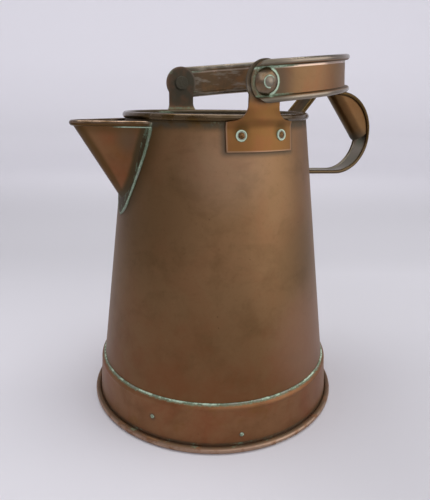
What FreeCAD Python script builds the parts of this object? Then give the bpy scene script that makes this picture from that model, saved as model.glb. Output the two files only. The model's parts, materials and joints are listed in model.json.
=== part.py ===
"""Victorian hot water can in sheet copper: a tapered can on a foot band, with a lip spout, a bail and a
side handle.

Millimetres. The origin is the centre of the foot ring on the ground, +Z is up, the spout points to -X and
the side handle to +X. The ears that carry the bail stand at -Y (left) and +Y (right).
"""
import FreeCAD, Part
import math
import os

# ---- driving dimensions ----

# sheet, wire and fits
SHEET = 0.8                  # copper sheet of the can, the foot band and the spout
BASE_SHEET = 1.0             # copper sheet of the base
SEAT = 0.05                  # room between pieces that are soldered or riveted face to face
FIT = 0.08                   # radial room around a wire in its rolled edge and a rivet in its hole

# can
CAN_HEIGHT = 241.9           # ground to the top of the rim
CAN_BOTTOM_Z = 4.0           # lower edge of the can's wall, hidden inside the foot band
CAN_BOTTOM_R = 102.2         # outside of the wall at its lower edge
CAN_TOP_R = 71.4             # outside of the wall at the middle of the rim
RIM_WIRE_R = 1.8
RIM_CURL_DEGS = (-60.0, 280.0)   # the wall's edge runs round its wire from one angle to the other
BASE_FLANGE = 4.5            # depth of the base's turned-down edge

# foot band
FOOT_HEIGHT = 36.6
FOOT_FLARE = 5.8             # its wired edge reaches this far out past the lower edge of the wall
FOOT_WIRE_R = 1.8
FOOT_CURL_DEGS = (180.0, 478.0)
FOOT_WEAR = 0.15             # depth of the flat worn under the wired edge
SHOULDER_OUT = 2.2           # the band's rounded top stands this far out from the seam
SHOULDER_DROP = 4.5
FOOT_SOLDER = 1.0
PIN_R = 0.8
PIN_HEAD_R = 1.6
PIN_HEAD_HEIGHT = 0.8
PIN_DEGS = (-142.1, -103.1)  # azimuth of each pin, and its height
PIN_HEIGHTS = (20.9, 12.7)

# spout
SPOUT_DROP = 7.6             # top of the can to the middle of the spout's wired edge
SPOUT_DEPTH = 57.8           # from there down to where the ridge leaves the wall
SPOUT_BURIED = 4.0           # the model of the ridge runs on this far inside the can
SPOUT_REACH = 39.7           # the ridge's top stands this far out past the can's rim
SPOUT_WIRE_R = 1.2
NOSE_TOP_R = 9.0             # rounding of the ridge at the top and at the root
NOSE_ROOT_R = 7.0
SIDE_TOP_DEG = 27.5          # angle of each side to the spout's middle plane
SIDE_ROOT_DEG = 73.5
SIDE_TOP_RUN = 36.0          # the model of each side runs on to this half-width inside the can
SIDE_ROOT_RUN = 16.0
FLANGE_TOP_HALF = 32.4       # half-width of the flange at the wired edge
FLANGE_BELLY_HALF = 26.0     # and across its belly and above its tip, each this far below the wired edge
FLANGE_BELLY_DROP = 28.8
FLANGE_LOW_HALF = 13.5
FLANGE_LOW_DROP = 56.3
FLANGE_TIP_DROP = 68.3
SOLDER_WIDTH = 1.3
SOLDER_THICK = 0.5
MOUTH_TOP_HALF = 20.0        # opening in the wall behind the spout, measured like the flange
MOUTH_TOP_DROP = 3.8
MOUTH_LOW_HALF = 6.0
MOUTH_LOW_DROP = 41.8
MOUTH_CORNER = 4.0

# bail hinge and ears
HINGE_RISE = 21.9            # hinge line over the top of the can, at the can's axis
HINGE_CANT = 1.0             # degrees that the hinge line rises towards the right ear, which is set higher
EAR_SHEET = 1.5
EAR_OFF_RIM = 0.6            # room between the rim and an ear's head
EAR_HALF = 25.6              # half-width of the riveted plate
EAR_BOTTOM_DROP = 24.6       # the plate's edges and corners below the top of the can
EAR_CORNER_DROP = 5.0
EAR_SHOULDER_DROP = 4.0
EAR_SHOULDER_HALF = 19.5
EAR_NECK_HALF = 11.75
EAR_NECK_RISE = 5.1          # the neck starts this far above the top of the can
EAR_LEAVE_DROP = 10.0        # below this the plate lies on the wall, and it bends out to pass the rim
EAR_BEND_RISE = 5.6          # above this the ear is flat
EAR_HEAD_R = 14.25
EAR_RIVET_DEG = 12.1         # each rivet lies this far round from the ear's middle
EAR_RIVET_DROP = 14.0
RIVET_R = 2.0
RIVET_HEAD_R = 3.6
RIVET_HEAD_THICK = 1.0
RIVET_TAIL_R = 2.5
RIVET_TAIL_HEIGHT = 1.0
BURR_R = 3.75
BURR_THICK = 0.7
HOLE_REACH = 20.0            # rivet holes are cut this far each way from the wall's outside

# pivots
PIVOT_R = 3.0
PIVOT_PLAY = 0.06            # radial running clearance in the bail
PIVOT_HEAD_R = 6.0
PIVOT_HEAD_THICK = 1.4
PIVOT_TAIL_R = 3.7
PIVOT_TAIL_HEIGHT = 1.5
DOME_ROOM = 0.25             # room between a domed washer and the bail's rolled edges
DOME_HEIGHT = 3.2
DOME_CROWN = 0.5             # pressed flat by this much under the rivet's end
DOME_SHEET = 1.2

# bail
BAIL_GAP = 0.35              # side play between an ear and the bail, and between the bail and a domed washer
BAIL_SHEET = 1.0
BAIL_WIRE_R = 1.15
BAIL_FILLET = 0.8            # solder that fills the hollow between each rolled edge and the sheet
BAIL_HALF = 13.5             # half its height, over the rolled edges
BAIL_ARM = 27.3              # hinge line to the start of the bow
BAIL_TAIL = 11.7             # the arms end this far behind the hinge line
BAIL_REST_GAP = 0.3          # left over the side handle when the bail lies on it

# side handle, with heights above and depths below the top of the can
STRAP_SHEET = 1.2
STRAP_WIRE_R = 1.0           # wire in each edge
STRAP_EDGE_R = 1.7           # rolled edge
STRAP_TOP_WIDTH = 24.0       # over the rolled edges, at its upper end
STRAP_LOW_WIDTH = 16.5       # and at its lower end
STRAP_START_DROP = 27.0
STRAP_CRANK_DROP = 8.8       # the strap bends out here to pass the rim
STRAP_RIM_DROP = 3.4
STRAP_CREST = (20.4, 17.8)   # corner of its outline, out from the rim and above the top of the can
STRAP_OUTER = (78.9, 12.0)
STRAP_LOWER_DROP = 55.0
STRAP_FOOT_DROP = 51.6
STRAP_END_DROP = 73.0
CRANK_BEND = 8.0             # bending radii along the strap
CREST_BEND = 16.0
OUTER_BEND = 35.0
LOWER_BEND = 31.6
FOOT_BEND = 4.0
STRAP_RIVET_DROPS = (23.0, 14.0, 69.0, 60.5)
STRAP_RIVET_R = 1.6
STRAP_RIVET_HEAD_R = 2.9
STRAP_RIVET_TAIL_R = 2.6

# grasp, the hollow half-round soldered inside the strap's bend
GRASP_WIDTH = 17.0           # across its half-round
GRASP_TOP_OUT = 34.4         # its ridge meets the strap this far out from the rim
GRASP_LOW = (69.6, 25.9)     # lower end of the ridge, out from the rim and below the top of the can

# ---- worked out from them ----

ORIGIN = FreeCAD.Vector(0, 0, 0)
X_AXIS = FreeCAD.Vector(1, 0, 0)
Y_AXIS = FreeCAD.Vector(0, 1, 0)
Z_AXIS = FreeCAD.Vector(0, 0, 1)
BEYOND = 200.0               # longer than anything that a cut has to pass

RIM_BEAD_R = RIM_WIRE_R + SHEET
RIM_Z = CAN_HEIGHT - RIM_BEAD_R
RIM_CENTRE_R = CAN_TOP_R - SHEET / 2
RIM_R = RIM_CENTRE_R + RIM_BEAD_R
TAPER = (CAN_BOTTOM_R - CAN_TOP_R) / (RIM_Z - CAN_BOTTOM_Z)
WALL_LEAN = math.degrees(math.atan(TAPER))
BASE_Z = CAN_BOTTOM_Z + BASE_FLANGE

FOOT_R = CAN_BOTTOM_R + FOOT_FLARE
FOOT_BEAD_R = FOOT_WIRE_R + SHEET
FOOT_BEAD_Z = FOOT_BEAD_R - FOOT_WEAR
FOOT_CENTRE_R = FOOT_R - FOOT_BEAD_R
PINS = list(zip(PIN_DEGS, PIN_HEIGHTS))

SPOUT_TOP_Z = CAN_HEIGHT - SPOUT_DROP
SPOUT_ROOT_Z = SPOUT_TOP_Z - SPOUT_DEPTH
SPOUT_BEAD_R = SPOUT_WIRE_R + SHEET

HINGE_Z = CAN_HEIGHT + HINGE_RISE
EAR_BOTTOM_Z = CAN_HEIGHT - EAR_BOTTOM_DROP
EAR_CORNER_Z = CAN_HEIGHT - EAR_CORNER_DROP
EAR_SHOULDER_Z = CAN_HEIGHT - EAR_SHOULDER_DROP
EAR_NECK_Z = CAN_HEIGHT + EAR_NECK_RISE
EAR_LEAVE_Z = CAN_HEIGHT - EAR_LEAVE_DROP
EAR_BEND_Z = CAN_HEIGHT + EAR_BEND_RISE
EAR_RIVET_Z = CAN_HEIGHT - EAR_RIVET_DROP
EAR_FACE = RIM_R + EAR_OFF_RIM   # inner face of an ear's head, along the hinge line from the middle

BAIL_FACE = EAR_FACE + EAR_SHEET + BAIL_GAP
BAIL_EDGE_R = BAIL_WIRE_R + BAIL_SHEET
BAIL_BOW_R = BAIL_FACE + BAIL_EDGE_R
BAIL_EDGE_HALF = BAIL_HALF - BAIL_EDGE_R
BAIL_HOLE_R = BAIL_WIRE_R + FIT
FILLET_OUT = BAIL_FILLET - BAIL_HOLE_R   # middle of a fillet, out past its rolled edge's and in from it
FILLET_IN = math.sqrt((BAIL_EDGE_R + BAIL_FILLET) ** 2 - FILLET_OUT ** 2)
DOME_FACE = BAIL_FACE + BAIL_SHEET + BAIL_GAP
DOME_R = BAIL_EDGE_HALF - FILLET_IN + math.sqrt(BAIL_FILLET ** 2 - (BAIL_FILLET - BAIL_GAP) ** 2) - DOME_ROOM

STRAP_START_Z = CAN_HEIGHT - STRAP_START_DROP
STRAP_CRANK_Z = CAN_HEIGHT - STRAP_CRANK_DROP
STRAP_FOOT_Z = CAN_HEIGHT - STRAP_FOOT_DROP
STRAP_END_Z = CAN_HEIGHT - STRAP_END_DROP
STRAP_RIVET_Z = [CAN_HEIGHT - drop for drop in STRAP_RIVET_DROPS]


def wall_r(z):
    """Outside radius of the can's wall at height z."""
    return CAN_TOP_R + TAPER * (RIM_Z - z)


def flat(x, z, y=0.0):
    """A point of an outline drawn in the XZ plane."""
    return FreeCAD.Vector(x, y, z)


def line(a, b):
    return Part.LineSegment(a, b).toShape()


def arc(a, middle, b):
    return Part.Arc(a, middle, b).toShape()


def polygon(points):
    return Part.Face(Part.makePolygon(list(points) + [points[0]]))


def filled(edges):
    return Part.Face(Part.Wire(edges))


def turned(face):
    """The solid that a face in the XZ plane makes when it is turned about the Z axis."""
    return face.revolve(ORIGIN, Z_AXIS, 360)


def joined(first, *others):
    return first.fuse(list(others)).removeSplitter()


def polar(centre, radius, degrees):
    """The point at an angle on a circle in the XZ plane, counted from +X towards +Z."""
    angle = math.radians(degrees)
    return centre + FreeCAD.Vector(radius * math.cos(angle), 0, radius * math.sin(angle))


def curl(centre, wire_r, sheet, start, end):
    """Section of sheet rolled round a wire, from one angle to another."""
    inner, outer = wire_r + FIT, wire_r + sheet
    middle = (start + end) / 2
    return filled([
        arc(polar(centre, outer, start), polar(centre, outer, middle), polar(centre, outer, end)),
        line(polar(centre, outer, end), polar(centre, inner, end)),
        arc(polar(centre, inner, end), polar(centre, inner, middle), polar(centre, inner, start)),
        line(polar(centre, inner, start), polar(centre, outer, start)),
    ])


def mirrored(point):
    return FreeCAD.Vector(point.x, -point.y, point.z)


def below_spout(half, drop):
    """A point of an outline drawn in the YZ plane, below the spout's wired edge."""
    return FreeCAD.Vector(0, half, SPOUT_TOP_Z - drop)


def ring(radius, z, wire_r):
    return Part.makeTorus(radius, wire_r, flat(0, z), Z_AXIS)


def cone_layer(inner, outer, low, high):
    """A layer over the can's wall, between two distances out from its outside."""
    return turned(polygon([flat(wall_r(low) + inner, low), flat(wall_r(low) + outer, low),
                           flat(wall_r(high) + outer, high), flat(wall_r(high) + inner, high)]))


def inside_wall(room):
    """The solid cone that fills the can out to its outside, and a little more."""
    low, high = -BEYOND / 2, RIM_Z + RIM_BEAD_R
    return turned(polygon([flat(0, low), flat(wall_r(low) + room, low),
                           flat(wall_r(high) + room, high), flat(0, high)]))


def on_wall(azimuth, z):
    """The place on the wall's outside at an azimuth and height, with its own +Z pointing straight out."""
    tilt = FreeCAD.Rotation(Y_AXIS, 90 - WALL_LEAN)
    turn = FreeCAD.Rotation(Z_AXIS, azimuth)
    angle = math.radians(azimuth)
    point = FreeCAD.Vector(wall_r(z) * math.cos(angle), wall_r(z) * math.sin(angle), z)
    return FreeCAD.Placement(point, turn.multiply(tilt))


def on_hinge(side):
    """The hinge line's middle, with its own +Z pointing out along the line to one side."""
    lean = FreeCAD.Rotation(X_AXIS, HINGE_CANT - side * 90)
    return FreeCAD.Placement(flat(0, HINGE_Z), lean)


def placed(shape, placement):
    shape = shape.copy()
    shape.Placement = placement.multiply(shape.Placement)
    return shape


def rod(radius, low, high):
    return Part.makeCylinder(radius, high - low, flat(0, low), Z_AXIS)


def cap(radius, height, low):
    """The part of a ball that stands this high on a circle."""
    ball_r = (radius ** 2 + height ** 2) / (2 * height)
    ball = Part.makeSphere(ball_r, flat(0, low + height - ball_r), Z_AXIS)
    return ball.common(rod(ball_r, low, low + height))


def rivet(radius, head_r, head_thick, low, high, tail_r, tail_height):
    """A rivet along Z: a flat head under low, a shank up to high and a hammered end on it."""
    return joined(rod(head_r, low - head_thick, low), rod(radius, low, high), cap(tail_r, tail_height, high))


def hole(radius, place):
    """What is cut away for a rivet through the wall."""
    return placed(rod(radius + FIT, -HOLE_REACH, HOLE_REACH), place)


def washer(radius, hole_r, low, high):
    return rod(radius, low, high).cut(rod(hole_r, low - 1, high + 1))


# ---- can ----

def can_wall():
    """Tapered wall with its top rolled outwards round the rim wire."""
    centre = flat(RIM_CENTRE_R, RIM_Z)
    top = RIM_Z - RIM_WIRE_R - SHEET / 2
    wall = polygon([flat(wall_r(CAN_BOTTOM_Z), CAN_BOTTOM_Z), flat(wall_r(top), top),
                    flat(wall_r(top) - SHEET, top), flat(wall_r(CAN_BOTTOM_Z) - SHEET, CAN_BOTTOM_Z)])
    return joined(turned(wall), turned(curl(centre, RIM_WIRE_R, SHEET, *RIM_CURL_DEGS)))


def spout_mouth():
    """Rounded opening that lets the water through the wall into the spout."""
    low, top = below_spout(MOUTH_LOW_HALF, MOUTH_LOW_DROP), below_spout(MOUTH_TOP_HALF, MOUTH_TOP_DROP)
    prism = polygon([low, top, mirrored(top), mirrored(low)]).extrude(X_AXIS * -BEYOND)
    edges = [edge for edge in prism.Edges if abs(edge.tangentAt(edge.FirstParameter).x) > 0.9]
    return prism.makeFillet(MOUTH_CORNER, edges)


def can_shell():
    shell = can_wall().cut(spout_mouth())
    holes = [hole(RIVET_R, place) for place in ear_rivet_places()]
    holes += [hole(STRAP_RIVET_R, on_wall(0, z)) for z in STRAP_RIVET_Z]
    holes += [hole(PIN_R, on_wall(*pin)) for pin in PINS]
    return shell.cut(holes)


def base():
    """Flat base with its edge turned down and soldered inside the wall."""
    inset = SHEET + SEAT
    top = BASE_Z + BASE_SHEET
    outer_top, outer_low = wall_r(top) - inset, wall_r(CAN_BOTTOM_Z) - inset
    return turned(polygon([flat(0, BASE_Z), flat(wall_r(BASE_Z) - inset - BASE_SHEET, BASE_Z),
                           flat(outer_low - BASE_SHEET, CAN_BOTTOM_Z), flat(outer_low, CAN_BOTTOM_Z),
                           flat(outer_top, top), flat(0, top)]))


# ---- foot ----

def foot_band():
    """Flared band soldered round the can, its lower edge rolled outwards round the foot wire."""
    centre = flat(FOOT_CENTRE_R, FOOT_BEAD_Z)
    seam_r = wall_r(FOOT_HEIGHT) + SEAT
    outer = [flat(seam_r + SHEET, FOOT_HEIGHT),
             flat(seam_r + SHEET + SHOULDER_OUT * 0.72, FOOT_HEIGHT - SHOULDER_DROP * 0.3),
             flat(seam_r + SHEET + SHOULDER_OUT, FOOT_HEIGHT - SHOULDER_DROP),
             flat(FOOT_CENTRE_R - FOOT_WIRE_R - FIT, FOOT_BEAD_Z)]
    inner = [flat(seam_r, FOOT_HEIGHT),
             flat(seam_r + SHOULDER_OUT * 0.72, FOOT_HEIGHT - SHEET * 0.5 - SHOULDER_DROP * 0.3),
             flat(seam_r + SHOULDER_OUT, FOOT_HEIGHT - SHOULDER_DROP),
             flat(FOOT_CENTRE_R - FOOT_BEAD_R, FOOT_BEAD_Z)]
    band = filled([
        arc(*outer[:3]), line(outer[2], outer[3]), line(outer[3], inner[3]),
        line(inner[3], inner[2]), arc(inner[2], inner[1], inner[0]), line(inner[0], outer[0]),
    ])
    solid = joined(turned(band), turned(curl(centre, FOOT_WIRE_R, SHEET, *FOOT_CURL_DEGS)))
    ground = Part.makeBox(BEYOND * 2, BEYOND * 2, BEYOND, FreeCAD.Vector(-BEYOND, -BEYOND, -BEYOND))
    return solid.cut([ground] + [hole(PIN_R, on_wall(*pin)) for pin in PINS])


def band_out(z):
    """How far the foot band's outside stands from the can's wall, along the wall's normal."""
    top_r, top_z = wall_r(FOOT_HEIGHT) + SEAT + SHEET + SHOULDER_OUT, FOOT_HEIGHT - SHOULDER_DROP
    low_r, low_z = FOOT_CENTRE_R - FOOT_WIRE_R, FOOT_BEAD_Z
    radius = low_r + (top_r - low_r) * (z - low_z) / (top_z - low_z)
    return (radius - wall_r(z)) * math.cos(math.radians(WALL_LEAN))


def foot_solder():
    """Line of solder where the band's top edge meets the wall."""
    return turned(polygon([flat(wall_r(FOOT_HEIGHT) + SEAT, FOOT_HEIGHT),
                           flat(wall_r(FOOT_HEIGHT) + SEAT + FOOT_SOLDER, FOOT_HEIGHT),
                           flat(wall_r(FOOT_HEIGHT + FOOT_SOLDER) + SEAT, FOOT_HEIGHT + FOOT_SOLDER)]))


def foot_pins():
    low = -SHEET - SEAT
    return [placed(rivet(PIN_R, PIN_HEAD_R, PIN_HEAD_HEIGHT, low, band_out(z) + 3 * SEAT, PIN_HEAD_R,
                         PIN_HEAD_HEIGHT), on_wall(azimuth, z)) for azimuth, z in PINS]


# ---- spout ----

def spout_section(z, inset):
    """Plan of the spout at height z, this far inside its outside: two straight sides and a rounded ridge."""
    share = (z - SPOUT_ROOT_Z) / (SPOUT_TOP_Z - SPOUT_ROOT_Z)
    root_x = -wall_r(SPOUT_ROOT_Z)
    nose = NOSE_ROOT_R + (NOSE_TOP_R - NOSE_ROOT_R) * share
    ridge = root_x + (-RIM_R - SPOUT_REACH - root_x) * share
    side = math.radians(SIDE_TOP_DEG + (SIDE_ROOT_DEG - SIDE_TOP_DEG) * (1 - share) ** 2)
    centre, radius = ridge + nose, nose - inset
    touch = FreeCAD.Vector(centre - radius * math.sin(side), radius * math.cos(side), z)
    back_y = SIDE_ROOT_RUN + (SIDE_TOP_RUN - SIDE_ROOT_RUN) * share
    back = FreeCAD.Vector(touch.x + (back_y - touch.y) / math.tan(side), back_y, z)
    tip = FreeCAD.Vector(centre - radius, 0, z)
    return back, touch, tip


def spout_path(z, inset):
    back, touch, tip = spout_section(z, inset)
    return [line(back, touch), arc(touch, tip, mirrored(touch)), line(mirrored(touch), mirrored(back))]


def spout_block(inset, high):
    """The spout's shape as a solid block, this far inside its outside, from just below its root up."""
    wires = []
    low = SPOUT_ROOT_Z - SPOUT_BURIED
    for step in range(6):
        z = low + (high - low) * step / 5
        back = spout_section(z, inset)[0]
        wires.append(Part.Wire(spout_path(z, inset) + [line(mirrored(back), back)]))
    return Part.makeLoft(wires, True, True)


def flange_outline(extra):
    """The flange as seen from the front, rounded at its tip and grown by extra all round."""
    tip = below_spout(0, FLANGE_TIP_DROP + extra)
    shoulder_drop = FLANGE_TIP_DROP - (FLANGE_TIP_DROP - FLANGE_LOW_DROP) * 0.4 + extra * 0.7
    shoulder = below_spout(FLANGE_LOW_HALF * 0.6 + extra, shoulder_drop)
    low = below_spout(FLANGE_LOW_HALF + extra, FLANGE_LOW_DROP)
    belly = below_spout(FLANGE_BELLY_HALF + extra, FLANGE_BELLY_DROP)
    top = below_spout(FLANGE_TOP_HALF + extra, 0)
    edges = [arc(top, belly, low), arc(low, shoulder, tip)]
    edges += [arc(tip, mirrored(shoulder), mirrored(low)), arc(mirrored(low), mirrored(belly), mirrored(top))]
    return filled(edges + [line(mirrored(top), top)]).extrude(X_AXIS * -BEYOND)


def spout_edge(radius):
    """A round edge along the top of the spout's sides and ridge."""
    path = Part.Wire(spout_path(SPOUT_TOP_Z, SHEET / 2))
    start = path.Vertexes[0].Point
    section = Part.Wire(Part.makeCircle(radius, start, path.Edges[0].tangentAt(0)))
    return path.makePipeShell([section], True, False)


def spout_shell():
    """Sheet bent into a trough, wired along its top, with a flange that lies on the wall."""
    low, top = SPOUT_TOP_Z - FLANGE_TIP_DROP, SPOUT_TOP_Z - SPOUT_WIRE_R - SHEET / 2
    hollow = spout_block(SHEET, SPOUT_TOP_Z + SPOUT_BEAD_R)
    trough = spout_block(0, top).cut(hollow)
    flange = cone_layer(SEAT, SEAT + SHEET, low - SHEET, SPOUT_TOP_Z).common(flange_outline(0)).cut(hollow)
    shell = trough.cut(inside_wall(SEAT)).fuse([flange, spout_edge(SPOUT_BEAD_R).cut(inside_wall(SEAT))])
    return shell.cut(spout_edge(SPOUT_WIRE_R + FIT)).removeSplitter()


def spout_wire():
    return spout_edge(SPOUT_WIRE_R).cut(inside_wall(SEAT))


def spout_solder():
    """Solder run along the outer edge of the flange."""
    low, high = SPOUT_TOP_Z - FLANGE_TIP_DROP - SOLDER_WIDTH * 2, SPOUT_TOP_Z - SPOUT_BEAD_R
    layer = cone_layer(SEAT, SEAT + SOLDER_THICK, low, high)
    bead = layer.common(flange_outline(SOLDER_WIDTH)).cut(flange_outline(0))
    return bead.cut(spout_edge(SPOUT_BEAD_R + SEAT))


# ---- ears ----

def head_face(side, z):
    """Distance of the inner face of an ear's head from the can's middle plane, at height z."""
    cant = math.radians(HINGE_CANT)
    return EAR_FACE / math.cos(cant) - side * (z - HINGE_Z) * math.tan(cant)


def pivot_z(side):
    return HINGE_Z + side * EAR_FACE * math.sin(math.radians(HINGE_CANT))


def eased(low, high, z):
    """Runs smoothly from 0 at one height to 1 at another."""
    share = min(max((z - low) / (high - low), 0), 1)
    return share * share * (3 - 2 * share)


def ear_section(side, z):
    """Level cut through the ear's sheet: round the can low down, out past the rim and flat at the head."""
    half = EAR_HALF * 1.2
    on_can, past_rim = wall_r(z) + SEAT, RIM_R + SEAT
    round_face = on_can + (past_rim - on_can) * eased(EAR_LEAVE_Z, RIM_Z, z)
    flatness = eased(RIM_Z, EAR_BEND_Z, z)

    def across(thick):
        points = []
        for step in range(-3, 4):
            x = half * step / 3
            rounded = math.sqrt((round_face + thick) ** 2 - x ** 2)
            y = rounded + (head_face(side, z) + thick - rounded) * flatness
            points.append(FreeCAD.Vector(x, side * y, z))
        curve = Part.BSplineCurve()
        curve.interpolate(points)
        return curve.toShape(), points[0], points[-1]
    inner, inner_start, inner_end = across(0)
    outer, outer_start, outer_end = across(EAR_SHEET)
    return Part.Wire([inner, line(inner_end, outer_end), outer, line(outer_start, inner_start)])


def ear_outline(side):
    """Front of an ear: a wide plate, hollow shoulders, a neck and a round head."""
    middle = pivot_z(side)
    meet = middle - math.sqrt(EAR_HEAD_R ** 2 - EAR_NECK_HALF ** 2)
    bow = flat(EAR_NECK_HALF + (EAR_SHOULDER_HALF - EAR_NECK_HALF) * 0.3,
               EAR_SHOULDER_Z + (EAR_NECK_Z - EAR_SHOULDER_Z) * 0.36)

    def half(sign):
        def p(x, z):
            return flat(sign * x, z)
        return [line(p(0, EAR_BOTTOM_Z), p(EAR_HALF, EAR_BOTTOM_Z)),
                line(p(EAR_HALF, EAR_BOTTOM_Z), p(EAR_HALF, EAR_CORNER_Z)),
                line(p(EAR_HALF, EAR_CORNER_Z), p(EAR_SHOULDER_HALF, EAR_SHOULDER_Z)),
                arc(p(EAR_SHOULDER_HALF, EAR_SHOULDER_Z), p(bow.x, bow.z), p(EAR_NECK_HALF, EAR_NECK_Z)),
                line(p(EAR_NECK_HALF, EAR_NECK_Z), p(EAR_NECK_HALF, meet)),
                arc(p(EAR_NECK_HALF, meet), p(EAR_HEAD_R, middle), p(0, middle + EAR_HEAD_R))]
    face = Part.Face(Part.Wire(Part.__sortEdges__(half(1) + half(-1))))
    return face.extrude(Y_AXIS * side * BEYOND)


def ear(side):
    """One ear, bent out over the rim and riveted to the wall below it."""
    top = pivot_z(side) + EAR_HEAD_R * 1.1
    bend = [EAR_LEAVE_Z + (EAR_BEND_Z - EAR_LEAVE_Z) * step / 12 for step in range(13)]
    levels = [EAR_BOTTOM_Z, (EAR_BOTTOM_Z + EAR_LEAVE_Z) / 2] + bend + [(EAR_BEND_Z + top) / 2, top]
    sheet = Part.makeLoft([ear_section(side, z) for z in levels], True, True).common(ear_outline(side))
    pivot = placed(rod(PIVOT_R + FIT, 0, BEYOND), on_hinge(side))
    return sheet.cut([hole(RIVET_R, place) for place in ear_rivet_places(side)] + [pivot])


def ear_rivet_places(*sides):
    return [on_wall(side * 90 + turn, EAR_RIVET_Z)
            for side in sides or (-1, 1) for turn in (-EAR_RIVET_DEG, EAR_RIVET_DEG)]


def ear_rivets():
    """Rivets with their flat heads inside the can and their hammered ends over the burrs."""
    low, high = -SHEET - 3 * SEAT, EAR_SHEET + 3 * SEAT + BURR_THICK
    solid = rivet(RIVET_R, RIVET_HEAD_R, RIVET_HEAD_THICK, low, high, RIVET_TAIL_R, RIVET_TAIL_HEIGHT)
    return [placed(solid, place) for place in ear_rivet_places()]


def ear_burrs():
    low = EAR_SHEET + 2 * SEAT
    solid = washer(BURR_R, RIVET_R + FIT, low, low + BURR_THICK)
    return [placed(solid, place) for place in ear_rivet_places()]


# ---- pivots ----

def pivot_rivet():
    """Rivet with its head inside the ear, running through the bail and the domed washer."""
    low = EAR_FACE - SEAT
    return rivet(PIVOT_R, PIVOT_HEAD_R, PIVOT_HEAD_THICK, low, DOME_FACE + DOME_HEIGHT, PIVOT_TAIL_R,
                 PIVOT_TAIL_HEIGHT)


def pivot_dome():
    """Hollow domed washer over the bail's arm."""
    top = DOME_FACE + DOME_HEIGHT - SEAT
    outside = cap(DOME_R, DOME_HEIGHT + DOME_CROWN, DOME_FACE)
    inside = cap(DOME_R - DOME_SHEET, DOME_HEIGHT + DOME_CROWN - DOME_SHEET, DOME_FACE)
    bore = rod(PIVOT_R + FIT, DOME_FACE - 1, top + DOME_CROWN + 1)
    return outside.cut([inside, bore]).common(rod(DOME_R, DOME_FACE, top))


# ---- bail ----

def bail_rest_angle():
    """Degrees that the bail tilts up where its lower rolled edge lies on the side handle's crest."""
    crest, outer = strap_corners()[3:5]
    along = (outer - crest).normalize()
    up = FreeCAD.Vector(-along.z, 0, along.x)
    edge_y = strap_width_at_crest() / 2 - STRAP_EDGE_R
    reach = BAIL_ARM + math.sqrt(BAIL_BOW_R ** 2 - edge_y ** 2)
    stand_off = BAIL_EDGE_R + STRAP_EDGE_R + BAIL_REST_GAP + edge_y * math.tan(math.radians(HINGE_CANT))
    wanted = stand_off - up.dot(flat(0, HINGE_Z) - crest)
    level, rise = up.x * reach - up.z * BAIL_EDGE_HALF, up.z * reach + up.x * BAIL_EDGE_HALF
    return math.degrees(math.atan2(rise, level) - math.acos(wanted / math.hypot(level, rise)))


def on_bail(shape):
    """Moves a piece of the bail, modelled level on the hinge line, to where it rests."""
    tilt = FreeCAD.Rotation(Y_AXIS, -bail_rest_angle())
    cant = FreeCAD.Rotation(X_AXIS, HINGE_CANT)
    return placed(shape, FreeCAD.Placement(flat(0, HINGE_Z), cant.multiply(tilt)))


def bail_section():
    """Section of the arm at +Y, across X = 0: sheet with both edges rolled outwards round their wires."""
    def p(out, up, sign):
        return FreeCAD.Vector(0, BAIL_BOW_R + out, sign * (BAIL_EDGE_HALF + up))

    def on_circle(out, up, radius, degrees, sign):
        angle = math.radians(degrees)
        return p(out + radius * math.cos(angle), up + radius * math.sin(angle), sign)
    toward = math.degrees(math.atan2(-FILLET_IN, FILLET_OUT))
    edges = [line(p(-BAIL_EDGE_R, 0, 1), p(-BAIL_EDGE_R, 0, -1)),
             line(p(-BAIL_HOLE_R, -FILLET_IN, 1), p(-BAIL_HOLE_R, -FILLET_IN, -1))]
    for sign in (1, -1):
        touch = on_circle(0, 0, BAIL_EDGE_R, toward, sign)
        deep = on_circle(FILLET_OUT, -FILLET_IN, BAIL_FILLET, (180 + 180 + toward) / 2, sign)
        edges += [arc(p(-BAIL_EDGE_R, 0, sign), on_circle(0, 0, BAIL_EDGE_R, 45, sign), touch),
                  arc(touch, deep, p(-BAIL_HOLE_R, -FILLET_IN, sign))]
    outside = Part.Face(Part.Wire(Part.__sortEdges__(edges)))
    holes = [filled([Part.makeCircle(BAIL_HOLE_R, p(0, 0, sign), X_AXIS)]) for sign in (1, -1)]
    return outside.cut(holes).Faces[0]


def bowed(section):
    """Carries an arm's section along one arm, round the bow and back along the other arm."""
    length = BAIL_ARM + BAIL_TAIL
    section = section.copy()
    section.translate(X_AXIS * -BAIL_TAIL)
    arm = section.extrude(X_AXIS * length)
    section.translate(X_AXIS * length)
    bow = section.revolve(flat(BAIL_ARM, 0), Z_AXIS, -180)
    return joined(arm, bow, arm.mirror(ORIGIN, Y_AXIS))


def arm_ends():
    """What the rounded ends of the arms leave standing."""
    start = BAIL_HALF - BAIL_TAIL
    whole = Part.makeBox(BEYOND, BEYOND, BEYOND, FreeCAD.Vector(start, -BEYOND / 2, -BEYOND / 2))
    end = Part.makeCylinder(BAIL_HALF, BEYOND, FreeCAD.Vector(start, -BEYOND / 2, 0), Y_AXIS)
    return whole.fuse(end)


def bail_strap():
    bore = Part.makeCylinder(PIVOT_R + PIVOT_PLAY, BEYOND, FreeCAD.Vector(0, -BEYOND / 2, 0), Y_AXIS)
    return on_bail(bowed(bail_section()).common(arm_ends()).cut(bore))


def bail_wire(sign):
    centre = FreeCAD.Vector(0, BAIL_BOW_R, sign * BAIL_EDGE_HALF)
    section = Part.Face(Part.Wire(Part.makeCircle(BAIL_WIRE_R, centre, X_AXIS)))
    return on_bail(bowed(section).common(arm_ends()))


# ---- side handle ----

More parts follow.
